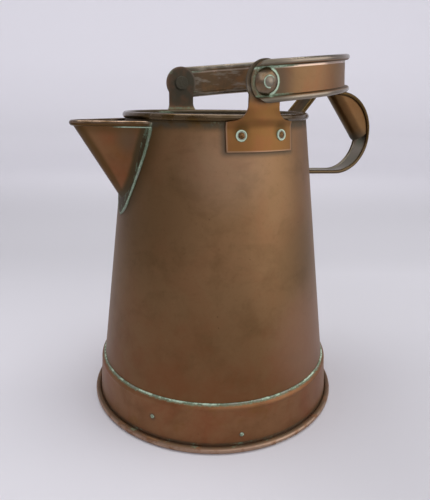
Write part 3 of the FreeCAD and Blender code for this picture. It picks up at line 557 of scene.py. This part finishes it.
def spout_edge(finish, reach):
    """1 at the edge of the spout's flange on the wall, fading to 0 this far away from it."""
    top = SPOUT_TOP - 2 * MM
    curve = finish.node("ShaderNodeFloatCurve")
    drop = finish.sum("MULTIPLY_ADD", finish.z, -1 / FLANGE_DROP, top / FLANGE_DROP)
    points = curve.mapping.curves[0].points
    for spot, (across, half) in zip(points, FLANGE_HALVES):
        spot.location = (across, half)
    for across, half in FLANGE_HALVES[2:]:
        points.new(across, half)
    curve.mapping.update()
    finish.feed(curve.inputs["Factor"], 1.0)
    finish.feed(curve.inputs["Value"], drop)
    half = finish.sum("MULTIPLY", curve.outputs[0], SPOUT_HIGH.y)
    gap = finish.sum("ABSOLUTE", finish.sum("SUBTRACT", finish.sum("ABSOLUTE", finish.y), half))
    return finish.all_of(finish.fade(gap, reach, 0.0), finish.fade(finish.x, -40 * MM, -50 * MM))


# ---- the foot ----

PIN_SPOTS = (mm(-81.5, -63.4, 20.9), mm(-23.8, -102.3, 12.7))    # middles of the foot's pins
FOOT_BEAD_TOP = 5 * MM           # top of the foot's rolled edge


class WATERCAN_OT_foot(bpy.types.Operator):
    """Dress the foot band and its pins"""
    bl_idname = "water_can.foot"
    bl_label = "Foot band"
    bl_options = {"REGISTER", "UNDO"}

    def execute(self, context):
        tones = metal_settings()
        band = old_copper("foot_band_copper", red=0.85, dark=0.4, shift=6)
        ripple = band.clouds(7 * MM, 4, 0.65, shift=33)
        band.lay(0.35, tones.red)
        patches = band.fade(band.clouds(17 * MM, 5, 0.65, shift=15), 0.52, 0.7)
        band.lay(band.all_of(patches, 0.6), tones.orange)
        groove = band.band(band.z, FOOT_BEAD_TOP, FOOT_BEAD_TOP + 1 * MM, 1.5 * MM)
        grime_and_shade(band, band.all_of(groove, band.fade(ripple, 0.2, 0.6)), 0.65)
        salts(band, band.all_of(groove, band.fade(band.clouds(12 * MM, 3, 0.6, shift=51), 0.5, 0.7)), 0.55)
        bead = band.fade(band.z, FOOT_BEAD_TOP, FOOT_BEAD_TOP - 1.4 * MM)
        band.lay(band.all_of(bead, band.fade(ripple, 0.3, 0.55), 0.55), tones.worn, 0.24)
        salts(band, band.fade(band.z, SEAM_Z - 1.8 * MM, SEAM_Z), 0.6)
        for pin in PIN_SPOTS:
            grime_and_shade(band, band.spot(pin, 4.2 * MM, 1.6 * MM), 0.6)
        dress(band.done(), "foot_band")

        pins = Finish("pin_heads", tones.solder, 0.5, 0.8)
        salts(pins, pins.fade(pins.clouds(1.5 * MM), 0.2, 0.6), 0.9)
        dress(pins.done(), "foot_pins")
        return {"FINISHED"}


class WATERCAN_OT_seam_bead(bpy.types.Operator):
    """Model the uneven bead of solder where the foot band meets the wall"""
    bl_idname = "water_can.seam_bead"
    bl_label = "Seam solder"
    bl_options = {"REGISTER", "UNDO"}

    def execute(self, context):
        beads = context.scene.water_can_beads
        only()
        height = SEAM_Z + 0.4 * MM
        bpy.ops.mesh.primitive_torus_add(
            major_radius=wall_radius(height) + 0.25 * MM, minor_radius=beads.seam_radius,
            major_segments=720, minor_segments=10, location=(0, 0, height))
        bead = context.object
        bead.name = bead.data.name = "foot_solder_bead"
        bpy.ops.object.transform_apply(location=True, rotation=True, scale=True)
        lumpy(bead, beads.lump_size, beads.lumps, "solder_lumps")
        settle(bead, solder_finish("seam_solder", 0.95), "can", "foot_solder", "foot_solder")
        return {"FINISHED"}


def solder_finish(name, crust):
    """Grey solder under pale green salts."""
    tones = metal_settings()
    finish = Finish(name, tones.solder, 0.55, 0.6)
    patches = finish.clouds(11 * MM, 4, 0.6, shift=61)
    finish.lay(finish.all_of(finish.fade(patches, 0.62, 0.75), 0.7), tones.dark, 0.6)
    salts(finish, finish.fade(patches, 0.72, 0.42), crust, 3 * MM)
    return finish.done()


# ---- the spout ----

SPOUT_PATCHES = (                # place, reach and tone
    (mm(-83, -20, 193), 38 * MM, "red"), (mm(-84, 20, 193), 38 * MM, "red"),
    (mm(-87, -22, 218), 17 * MM, "orange"), (mm(-87, 22, 218), 17 * MM, "orange"),
    (mm(-93, -17, 225), 11 * MM, "red"), (mm(-93, 17, 225), 11 * MM, "red"))
SPOUT_GOLD = (mm(-80, -24, 222), mm(-80, 24, 222))   # middles of the golden patches
SPOUT_BEAD_FOOT = SPOUT_TOP - 4 * MM                 # underside of the spout's rolled edge


class WATERCAN_OT_spout(bpy.types.Operator):
    """Dress the spout's sheet and flange"""
    bl_idname = "water_can.spout"
    bl_label = "Spout"
    bl_options = {"REGISTER", "UNDO"}

    def execute(self, context):
        tones = metal_settings()
        spout = old_copper("spout_copper", red=0.5, dark=0.6, shift=7)
        out = spout.off_wall()
        # the sides are red, with an orange and a golden patch by the edge, painted shade under the wired
        # edge, and painted shade along the rounded ridge
        side = spout.fade(out, 1.2 * MM, 5 * MM)
        uneven = spout.sum("MULTIPLY_ADD", spout.clouds(9 * MM, 3, 0.6, shift=75), 1.8, -0.1)
        for place, reach, tone in SPOUT_PATCHES:
            patch = spout.all_of(side, spout.spot(place, reach, 2 * MM), uneven, 0.9)
            spout.lay(patch, getattr(tones, tone), 0.36)
        spout.lay(spout.all_of(side, 0.22), tones.dark)
        spout.lay(spout.all_of(side, 0.22), tones.red)
        for place in SPOUT_GOLD:
            grime_and_shade(spout, spout.all_of(side, spout.spot(place, 15 * MM, 3 * MM)), 0.45)
        shade = spout.fade(spout.z, SPOUT_TOP - 12 * MM, SPOUT_TOP - 5 * MM)
        spout.lay(spout.all_of(side, shade, 0.5), tones.dark, 0.4)
        shaded_ridge = spout.fade(spout.sum("ABSOLUTE", spout.y), 9.5 * MM, 7 * MM)
        spout.lay(spout.all_of(shaded_ridge, 0.7), tones.dark)
        # the fold is painted dark and olive as shade, and the flange is grey with salts, thickest by the rim
        spout.lay(spout.fade(out, 4.8 * MM, 2.2 * MM), tones.dark, 0.5)
        grime_and_shade(spout, spout.fade(out, 4.5 * MM, 1.5 * MM), 0.35)
        flange = spout.fade(out, 1.6 * MM, 0.9 * MM)
        thick = spout.fade(spout.z, SPOUT_TOP - 26 * MM, SPOUT_TOP - 4 * MM)
        salts(spout, spout.all_of(flange, thick), 0.55, FINE_CRUST)
        salts(spout, spout.all_of(flange, spout_edge(spout, 2.4 * MM)), 0.9, FINE_CRUST)
        smeared = spout.fade(spout.clouds(4 * MM, 4, 0.65, stretch=(1, 1, 3), shift=77), 0.42, 0.6)
        salts(spout, spout.all_of(flange, smeared), 0.5, FINE_CRUST)
        # a thin line of salts under the wired edge, the edge painted dark as its reflection, and the edge's
        # worn crown
        under_edge = spout.band(spout.z, SPOUT_BEAD_FOOT - 0.6 * MM, SPOUT_BEAD_FOOT - 0.2 * MM, 0.5 * MM)
        salts(spout, spout.all_of(under_edge, spout.fade(spout.x, -96 * MM, -80 * MM)), 1.0, 1.2 * MM)
        painted_dark_gloss(spout, spout.fade(spout.z, SPOUT_BEAD_FOOT, SPOUT_BEAD_FOOT + 0.5 * MM), 0.55)
        spout.lay(spout.all_of(spout.fade(spout.z, SPOUT_TOP - 2.4 * MM, SPOUT_TOP - 1.2 * MM),
                               spout.fade(spout.clouds(8 * MM, 3, 0.6, shift=73), 0.35, 0.65), 0.4),
                  tones.worn)
        # inside, where the sheet faces the middle plane: dull and dark
        facing = spout.node("ShaderNodeSeparateXYZ", spout.node("ShaderNodeNewGeometry").outputs["Normal"])
        inward = spout.sum("MULTIPLY", facing.outputs["Y"], spout.sum("SIGN", spout.y))
        grime_and_shade(spout, spout.all_of(spout.fade(spout.z, SPOUT_TOP - 1.5 * MM, SPOUT_TOP - 3.5 * MM),
                                  spout.fade(inward, -0.1, -0.4)), 0.8)
        dress(spout.done(), "spout_shell")
        return {"FINISHED"}


class WATERCAN_OT_spout_bead(bpy.types.Operator):
    """Model the rough run of solder round the spout's flange"""
    bl_idname = "water_can.spout_bead"
    bl_label = "Spout solder"
    bl_options = {"REGISTER", "UNDO"}

    def execute(self, context):
        beads = context.scene.water_can_beads
        bead = copy_of("spout_solder", "spout_solder_bead")
        evened(bead, 0.3 * MM)
        lumpy(bead, beads.lump_size * 0.6, beads.lumps, "solder_lumps")
        smoothed(bead, 2)
        settle(bead, solder_finish("spout_solder_finish", 0.75), "can", "spout_solder", "spout_solder")
        return {"FINISHED"}


# ---- ears and rivets ----

EAR_NECK = HINGE_HEIGHT - 11 * MM                    # height at which the olive of the heads gives out
BURR_R = 3.8 * MM                # outside radius of a burr
EAR_EDGE_HIGHLIGHT = 1.1 * MM          # width of the painted highlight, in the worn colour, along the plates' edges


class WATERCAN_OT_ears(bpy.types.Operator):
    """Smooth and dress both ears, and dress the burrs under their rivets"""
    bl_idname = "water_can.ears"
    bl_label = "Ears"
    bl_options = {"REGISTER", "UNDO"}

    def execute(self, context):
        for node, side in (("left_ear", -1), ("right_ear", 1)):
            piece = copy_of(node, "smooth_" + node)
            settle(piece, self.finish(node, side), "can", node, node)
        tones = metal_settings()
        burrs = Finish("burr_metal", tones.solder, 0.5, 0.7)
        rings = []
        for spot in rivet_spots():
            gap = burrs.away(spot)
            rings.append(burrs.all_of(burrs.fade(gap, 2.4 * MM, 3.4 * MM), burrs.fade(gap, 6 * MM, 5 * MM)))
        salts(burrs, burrs.any_of(*rings), 1.3, 1.4 * MM)
        dress(burrs.done(), "ear_burrs")
        return {"FINISHED"}

    def finish(self, node, side):
        """Rubbed orange on the near ear's plate and neck, and olive on both heads and most of the far ear."""
        tones = metal_settings()
        near = side < 0
        ear = old_copper(node + "_copper", red=0.25, dark=0.3, shift=9 + side)
        height = ear.sum("MULTIPLY_ADD", ear.clouds(10 * MM, 3, 0.6, shift=81), 8 * MM, ear.z)
        plate = ear.fade(height, EAR_NECK + 8 * MM, EAR_NECK - 2 * MM)
        head = ear.sum("SUBTRACT", 1.0, plate)
        ear.lay(ear.all_of(plate, 0.9 if near else 0.2), tones.orange, 0.44)
        blush = ear.fade(ear.clouds(13 * MM, 4, 0.6, shift=83), 0.42, 0.66)
        ear.lay(ear.all_of(plate, blush, 0.4), tones.red, 0.4)
        grime_and_shade(ear, head, 0.8)
        streaks = ear.fade(ear.clouds(5 * MM, 4, 0.65, stretch=(1, 1, 2.5), shift=85), 0.52, 0.7)
        ear.lay(ear.all_of(streaks, head, 0.3), tones.grey, 0.36)
        if not near:
            grime_and_shade(ear, ear.fade(ear.z, RIM_TOP, RIM_TOP + 4 * MM), 0.85)
            heart = pivot_spots()[1]
            head_edge = ear.all_of(ear.spot(heart - mm(0, 4, 0), 12 * MM, 14 * MM),
                                   ear.fade(ear.z, heart.z - 10 * MM, heart.z))
            ear.lay(ear.all_of(head_edge, 0.22), tones.worn)
            ear.lay(ear.all_of(blush, 0.3), tones.red)
            salts(ear, ear.spot(heart + mm(-11, -4, 10), 6 * MM, 1 * MM), 0.6, 1.2 * MM)
            salts(ear, ear.fade(ear.z, RIM_TOP + 4 * MM, RIM_TOP + 1 * MM), 0.55)
        for spot in rivet_spots(side):
            smudge = ear.spot(spot + mm(0, 0, 3), 8 * MM, 3 * MM)
            ear.lay(ear.all_of(smudge, 0.6), tones.dark)
            salts(ear, ear.spot(spot, 5.0 * MM, 3.7 * MM), 0.6)
        # a painted highlight along the plates' lower and side edges
        across = ear.sum("ABSOLUTE", ear.x)
        edges = ear.any_of(ear.fade(ear.z, EAR_LOW.z + EAR_EDGE_HIGHLIGHT, EAR_LOW.z + 0.5 * MM),
                           ear.fade(across, EAR_HIGH.x - EAR_EDGE_HIGHLIGHT, EAR_HIGH.x - 0.5 * MM))
        ear.lay(ear.all_of(edges, 0.24), tones.worn, 0.3)
        return ear.done()


def rivet_spots(*sides):
    """Middles of the ears' burrs, near ear first."""
    across, out = BURR_HIGH.x - BURR_R, BURR_HIGH.y - 0.9 * MM
    height = (BURR_LOW.z + BURR_HIGH.z) / 2
    return [Vector((sign * across, side * out, height)) for side in sides or (-1, 1) for sign in (-1, 1)]


def pivot_spots():
    """Middles of the pivot rivets' ends, near one first."""
    return [Vector((0, side * PIVOT_END, PIVOT_HEIGHT[side])) for side in (-1, 1)]


RIVET_FACE = 0.22 * MM           # size of the faces that the rivets are modelled in
RIVET_DENTS = {"ear_rivets": 1.4 * MM, "pivot_rivets": 1.9 * MM, "handle_rivets": 1.4 * MM}


class WATERCAN_OT_rivets(bpy.types.Operator):
    """Model the hammered ends of the ears', pivots' and side handle's rivets"""
    bl_idname = "water_can.rivets"
    bl_label = "Rivets"
    bl_options = {"REGISTER", "UNDO"}

    def execute(self, context):
        beads = context.scene.water_can_beads
        tones = metal_settings()
        finish = old_copper("rivet_copper", red=0.5, dark=0.4, shift=10)
        hollows = finish.clouds(1.1 * MM, 3, 0.6, shift=91)
        tarnish = finish.sum("MULTIPLY_ADD", finish.fade(hollows, 0.45, 0.62), 0.5, 0.45)
        finish.lay(tarnish, tones.dark, 0.26)
        # the pivots' ends are grey, and their heads inside the ears as olive as the ears
        high = finish.fade(finish.z, RIM_TOP + 6 * MM, RIM_TOP + 9 * MM)
        inner = finish.fade(finish.sum("ABSOLUTE", finish.y), PIVOT_END - 1.5 * MM, PIVOT_END - 3 * MM)
        outer = finish.sum("SUBTRACT", 1.0, inner)
        finish.lay(finish.all_of(high, 0.6), tones.grey, 0.4)
        grime_and_shade(finish, finish.all_of(high, inner), 0.92)
        salts(finish, finish.all_of(finish.fade(hollows, 0.36, 0.28), outer), 0.5, 1.2 * MM)
        finish.raise_by(finish.sum("MULTIPLY", hollows, 0.2 * MM))
        material = finish.done()
        for node, dent in RIVET_DENTS.items():
            piece = copy_of(node, "hammered_" + node)
            evened(piece, RIVET_FACE)
            smoothed(piece, 3)
            lumpy(piece, dent, beads.dents, "hammer_dents")
            settle(piece, material, "can", node, node)
        return {"FINISHED"}


class WATERCAN_OT_domes(bpy.types.Operator):
    """Dress the domed washers over the bail's arms"""
    bl_idname = "water_can.domes"
    bl_label = "Domed washers"
    bl_options = {"REGISTER", "UNDO"}

    def execute(self, context):
        tones = metal_settings()
        dome = old_copper("dome_copper", red=0.3, dark=0.4, shift=12)
        tinned = dome.fade(dome.clouds(7 * MM, 4, 0.6, shift=13), 0.35, 0.6)
        dome.lay(dome.sum("MULTIPLY_ADD", tinned, 0.4, 0.2), tones.grey)
        # the whole dome painted darker as its reflection, and glossy
        painted_dark_gloss(dome, 1.0, 0.42)
        # a broken ring of salts round the rivet's end, and one round the dome's foot on the bow's side
        broken = dome.fade(dome.clouds(5 * MM, 2, 0.5, shift=24), 0.42, 0.55)
        for heart in pivot_spots():
            gap = dome.away(heart)
            crown = dome.band(gap, 3.7 * MM, 4.1 * MM, 0.7 * MM)
            foot = dome.all_of(dome.fade(gap, 6.6 * MM, 8.0 * MM), dome.fade(gap, 14 * MM, 12 * MM))
            salts(dome, dome.all_of(crown, broken), 1.0, 1.5 * MM)
            salts(dome, dome.all_of(foot, dome.fade(dome.x, 0, 4 * MM)), 1.2, 2 * MM)
        dress(dome.done(), "pivot_domes")
        return {"FINISHED"}


# ---- the bail ----

BAIL_TILT = math.radians(5.68)       # how far the bail tips up where it rests on the side handle
BAIL_BOW_START = 27.3 * MM           # from the hinge line to where the arms turn into the bow
BAIL_SKIN = 76.5 * MM                # from the middle plane to the middle of the bail's sheet
BAIL_BEAD = 11.35 * MM               # from the bail's middle line to the middle of each rolled edge


class WATERCAN_OT_bail(bpy.types.Operator):
    """Dress the swinging bail"""
    bl_idname = "water_can.bail"
    bl_label = "Bail"
    bl_options = {"REGISTER", "UNDO"}

    def execute(self, context):
        tones = metal_settings()
        bail = old_copper("bail_copper", red=0.3, dark=0.2, shift=14)
        bail.lay(0.14, tones.dark)
        glow = bail.clouds(17 * MM, 2, 0.45, stretch=(1, 1, 2.4), shift=16)
        bail.lay(bail.all_of(bail.fade(glow, 0.45, 0.7), 0.35), tones.red, 0.36)
        # glossy grey beads painted dark as their reflection, a painted highlight in the hollow under the
        # upper one and a painted shadow line along both
        up, level = self.over_middle(bail)
        upper, lower = bail.fade(up, -2 * MM, 2 * MM), bail.fade(up, 2 * MM, -2 * MM)
        bead = bail.fade(level, BAIL_BEAD - 1.6 * MM, BAIL_BEAD - 0.4 * MM)
        crease = bail.band(level, BAIL_BEAD - 3.0 * MM, BAIL_BEAD - 2.2 * MM, 0.8 * MM)
        bail.lay(bail.all_of(bead, 0.7), tones.grey)
        painted_dark_gloss(bail, bead, 0.16)
        gutter_highlight = bail.band(level, BAIL_BEAD - 3.6 * MM, BAIL_BEAD - 2.4 * MM, 0.4 * MM)
        bail.lay(bail.all_of(gutter_highlight, upper), tones.worn, 0.16)
        painted_shadow_line = bail.band(level, BAIL_BEAD - 2.2 * MM, BAIL_BEAD - 1.7 * MM, 0.35 * MM)
        bail.lay(bail.all_of(painted_shadow_line, 0.8), tones.dark, 0.5)
        # salts and dirt gather round the domed washers and run out along the creases
        ahead, behind = bail.fade(bail.x, -2 * MM, 3 * MM), bail.fade(bail.x, 5 * MM, -8 * MM)
        for heart in pivot_spots():
            gap = bail.away(heart)
            grime_and_shade(bail, bail.fade(gap, 26 * MM, 11 * MM), 0.6)
            salts(bail, bail.all_of(bail.fade(gap, 11 * MM, 9.2 * MM), ahead), 1.1, 2 * MM)
            salts(bail, bail.all_of(bail.fade(gap, 14.5 * MM, 10 * MM), behind), 0.5)
        near_hinge = bail.fade(bail.x, 38 * MM, 10 * MM)
        salts(bail, bail.all_of(crease, near_hinge, upper), 0.85, FINE_CRUST)
        salts(bail, bail.all_of(crease, near_hinge, lower), 0.6, FINE_CRUST)
        # the inner face is dull, with rubbed streaks
        inner = self.inside(bail)
        dull = bail.fade(bail.clouds(12 * MM, 4, 0.6, shift=22), 0.7, 0.4)
        grime_and_shade(bail, bail.all_of(inner, dull), 0.5)
        streaks = bail.fade(bail.clouds(5 * MM, 4, 0.65, stretch=(4, 4, 1), shift=26), 0.48, 0.66)
        bail.lay(bail.all_of(inner, streaks, 0.5), tones.grey, 0.36)
        dress(bail.done(), "bail_strap")
        return {"FINISHED"}

    def over_middle(self, bail):
        """Height over the bail's own middle plane, which tips up from the hinge line, and its size alone."""
        tipped = Vector((-math.sin(BAIL_TILT), 0, math.cos(BAIL_TILT)))
        over = bail.sum("SUBTRACT", bail.along(tipped), tipped.z * HINGE_HEIGHT)
        up = bail.sum("SUBTRACT", over, bail.sum("MULTIPLY", bail.y, HINGE_RISE))
        return up, bail.sum("ABSOLUTE", up)

    def inside(self, bail):
        """1 on the face of the bail that looks inwards."""
        run = bail.sum("MAXIMUM", bail.sum("SUBTRACT", bail.x, BAIL_BOW_START), 0.0)
        return bail.fade(bail.across(run, bail.y), BAIL_SKIN + 0.2 * MM, BAIL_SKIN - 0.2 * MM)


# ---- the side handle ----

GRASP_FOOT = mm(147, 0, 215.5)       # where the grasp's lower end meets the strap
STRAP_EDGE = 7.6 * MM                # from the middle plane to the strap's rolled edges
GRASP_EDGE = 9 * MM                  # and to the edges of the grasp


class WATERCAN_OT_side_handle(bpy.types.Operator):
    """Dress the side handle's strap and its hollow grasp"""
    bl_idname = "water_can.side_handle"
    bl_label = "Side handle"
    bl_options = {"REGISTER", "UNDO"}

    def execute(self, context):
        tones = metal_settings()
        strap = old_copper("side_handle_copper", red=0.15, dark=0.2, shift=17)
        dull = strap.fade(strap.clouds(14 * MM, 4, 0.6, shift=19), 0.35, 0.6)
        strap.lay(strap.sum("MULTIPLY_ADD", dull, 0.4, 0.4), tones.olive, 0.32)
        low = strap.fade(strap.z, GRASP_FOOT.z + 6 * MM, GRASP_FOOT.z - 8 * MM)
        strap.lay(strap.all_of(low, 0.75), tones.grey, 0.3)
        streaks = strap.fade(strap.clouds(4 * MM, 4, 0.65, stretch=(4, 1, 4), shift=27), 0.5, 0.66)
        strap.lay(strap.all_of(streaks, 0.45), tones.dark, 0.3)
        # the rolled edges painted dark as shade, and glossy
        painted_dark_gloss(strap, strap.fade(strap.sum("ABSOLUTE", strap.y), STRAP_EDGE - 1 * MM, STRAP_EDGE), 0.88)
        wall_gap = strap.fade(strap.off_wall(), 9 * MM, 3 * MM)
        grime_and_shade(strap, wall_gap, 0.6)
        salts(strap, strap.all_of(wall_gap, 0.5), 0.8)
        salts(strap, strap.spot(GRASP_FOOT, 14 * MM, 4 * MM), 0.5, FINE_CRUST)
        dress(strap.done(), "handle_strap")

        grasp = old_copper("grasp_copper", red=0.5, dark=0.6, shift=20)
        grasp.lay(0.3, tones.red)
        # the grasp darker all over, and more along its rounded middle as painted shade where it turns from
        # the light
        shaded_ridge = grasp.fade(grasp.sum("ABSOLUTE", grasp.y), GRASP_EDGE, 2 * MM)
        grasp.lay(grasp.sum("MULTIPLY_ADD", shaded_ridge, 0.3, 0.6), tones.dark, 0.32)
        grime_and_shade(grasp, grasp.spot(GRASP_FOOT, 16 * MM, 5 * MM), 0.8)
        salts(grasp, grasp.spot(GRASP_FOOT, 8 * MM, 3 * MM), 0.5, FINE_CRUST)
        dress(grasp.done(), "handle_grasp")
        return {"FINISHED"}


# ---- the stage ----

CAMERA_PLACE = Vector((-0.1707556, -0.3589007, 0.2510178))
CAMERA_TURN = Matrix(((0.9036843, 0.1201861, -0.4109867),
                      (-0.4280721, 0.2769806, -0.8602535),
                      (0.0104449, 0.9533294, 0.3017513))).to_quaternion()
CAMERA_LENS, CAMERA_SENSOR = 34.251, 36
CAMERA_ANGLE = math.atan2(CAMERA_PLACE.y, CAMERA_PLACE.x)
CAMERA_REACH = (0.01, 20)            # nearest and furthest that it sees

FLOOR_R = 1.5
FLOOR_STEPS = ((0.02, 0.20), (0.09, 0.17), (0.22, 0.12), (0.40, 0.06), (0.9, 0.02))   # up and outwards
# directions over the floor, as the camera sees them
FRONT_TO_BACK = Vector((0.43, 0.903, 0))
LEFT_TO_RIGHT = Vector((0.903, -0.43, 0))

CAN_MIDDLE = Vector((0, 0, 0.13))
BACK_ANGLE = math.atan2(-CAMERA_PLACE.y, -CAMERA_PLACE.x)
BACKDROP = Vector((1.7 * math.cos(BACK_ANGLE), 1.7 * math.sin(BACK_ANGLE), 0.8))
# size, degrees round to the right of the camera, height, distance from the can's axis, and aim
LAMPS = {"window": ((1.3, 1.3), 68, 0.6, 1.2, CAN_MIDDLE),
         "front": ((1.0, 1.0), 12, 0.9, 1.2, CAN_MIDDLE),
         "ceiling": ((1.6, 0.6), 180, 1.6, 0.1, CAN_MIDDLE),
         "wash": ((1.8, 0.5), 180, 1.5, 0.5, BACKDROP)}


class WATERCAN_OT_stage(bpy.types.Operator):
    """Set up the floor, the backdrop, the lamps and the camera"""
    bl_idname = "water_can.stage"
    bl_label = "Stage"
    bl_options = {"REGISTER", "UNDO"}

    def execute(self, context):
        scene = context.scene
        settings = scene.water_can_stage
        scene.view_settings.view_transform = "Standard"
        only()
        bpy.ops.mesh.primitive_circle_add(vertices=96, radius=FLOOR_R, fill_type="NGON", location=(0, 0, 0))
        floor = context.object
        floor.name = floor.data.name = "floor"
        for rise, reach in FLOOR_STEPS:
            self.raise_edge(floor, rise, reach)
        floor.data.materials.append(self.paper(settings.floor))
        only(floor)
        bpy.ops.object.shade_smooth()

        world = bpy.data.worlds.new("room")
        world.use_nodes = True
        world.node_tree.nodes["Background"].inputs["Color"].default_value = (*settings.room, 1)
        scene.world = world

        for name, place in LAMPS.items():
            self.lamp(name, getattr(settings, name + "_power"), *place)
        self.camera(context)
        return {"FINISHED"}

    def paper(self, colour):
        """Pale paper, a little greyer beside the can on the right and behind it as painted shade, and paler
        where it rises as painted light.
        """
        paper = Finish("backdrop_paper", colour, 0.9, 0.0)
        shaded_paper_tone = tuple(0.76 * part for part in colour)
        lit_paper_tone = tuple(1.13 * part for part in colour)
        depth, aside = paper.along(FRONT_TO_BACK), paper.along(LEFT_TO_RIGHT)
        behind = paper.all_of(paper.fade(depth, 0.02, 0.40), paper.fade(depth, 1.25, 0.6))
        beside = paper.all_of(paper.fade(aside, -0.05, 0.16), paper.fade(depth, 0.9, 0.2), 0.8)
        paper.lay(paper.any_of(behind, beside), shaded_paper_tone)
        paper.lay(paper.fade(paper.z, 0.05, 0.45), lit_paper_tone)
        return paper.done()

    def raise_edge(self, floor, rise, reach):
        """Extrudes the floor's outer edge outwards and up."""
        only(floor)
        bpy.ops.object.mode_set(mode="EDIT")
        bpy.ops.mesh.select_mode(type="EDGE")
        bpy.ops.mesh.select_all(action="DESELECT")
        bpy.ops.object.mode_set(mode="OBJECT")
        reaches = [vertex.co.xy.length for vertex in floor.data.vertices]
        widest = max(reaches)
        for edge in floor.data.edges:
            edge.select = all(reaches[i] > widest - 0.1 * MM for i in edge.vertices)
        bpy.ops.object.mode_set(mode="EDIT")
        bpy.ops.mesh.extrude_edges_move(TRANSFORM_OT_translate={"value": (0, 0, rise)})
        grow = (widest + reach) / widest
        bpy.ops.transform.resize(value=(grow, grow, 1), center_override=(0, 0, 0))
        bpy.ops.object.mode_set(mode="OBJECT")

    def lamp(self, name, energy, size, turn, height, distance, aim):
        """Adds a soft lamp, turned this many degrees to the right of the camera and aimed at a place."""
        data = bpy.data.lights.new(name, "AREA")
        data.shape = "RECTANGLE"
        data.size, data.size_y = size
        data.energy = energy
        lamp = bpy.data.objects.new(name, data)
        bpy.context.scene.collection.objects.link(lamp)
        angle = CAMERA_ANGLE + math.radians(turn)
        lamp.location = (distance * math.cos(angle), distance * math.sin(angle), height)
        lamp.rotation_euler = (aim - lamp.location).to_track_quat("-Z", "Y").to_euler()

    def camera(self, context):
        data = bpy.data.cameras.new("camera")
        data.sensor_width, data.lens = CAMERA_SENSOR, CAMERA_LENS
        data.clip_start, data.clip_end = CAMERA_REACH
        camera = bpy.data.objects.new("camera", data)
        context.scene.collection.objects.link(camera)
        camera.matrix_world = Matrix.LocRotScale(CAMERA_PLACE, CAMERA_TURN, None)
        context.scene.camera = camera


# ---- add-on ----

class WATERCAN_PT_panel(bpy.types.Panel):
    """Settings and steps of the hot water can"""
    bl_idname = "WATERCAN_PT_panel"
    bl_label = "Hot Water Can"
    bl_space_type = "VIEW_3D"
    bl_region_type = "UI"
    bl_category = "Water Can"

    def draw(self, context):
        for title, name, group in SETTINGS:
            box = self.layout.box()
            box.label(text=title)
            for setting in group.__annotations__:
                box.prop(getattr(context.scene, name), setting)
        for step in STEPS:
            self.layout.operator(step.bl_idname)


SETTINGS = (("Metal", "water_can_metal", WaterCanMetal), ("Beads", "water_can_beads", WaterCanBeads),
            ("Stage", "water_can_stage", WaterCanStage))
STEPS = (WATERCAN_OT_can, WATERCAN_OT_foot, WATERCAN_OT_seam_bead, WATERCAN_OT_spout, WATERCAN_OT_spout_bead,
         WATERCAN_OT_ears, WATERCAN_OT_rivets, WATERCAN_OT_domes, WATERCAN_OT_bail, WATERCAN_OT_side_handle,
         WATERCAN_OT_stage)


def register():
    for _, name, group in SETTINGS:
        bpy.utils.register_class(group)
        setattr(bpy.types.Scene, name, bpy.props.PointerProperty(type=group))
    for step in STEPS:
        bpy.utils.register_class(step)
    bpy.utils.register_class(WATERCAN_PT_panel)


def unregister():
    bpy.utils.unregister_class(WATERCAN_PT_panel)
    for step in reversed(STEPS):
        bpy.utils.unregister_class(step)
    for _, name, group in reversed(SETTINGS):
        delattr(bpy.types.Scene, name)
        bpy.utils.unregister_class(group)


def main():
    register()
    for step in STEPS:
        family, action = step.bl_idname.split(".")
        getattr(getattr(bpy.ops, family), action)()


if __name__ == "__main__":
    main()
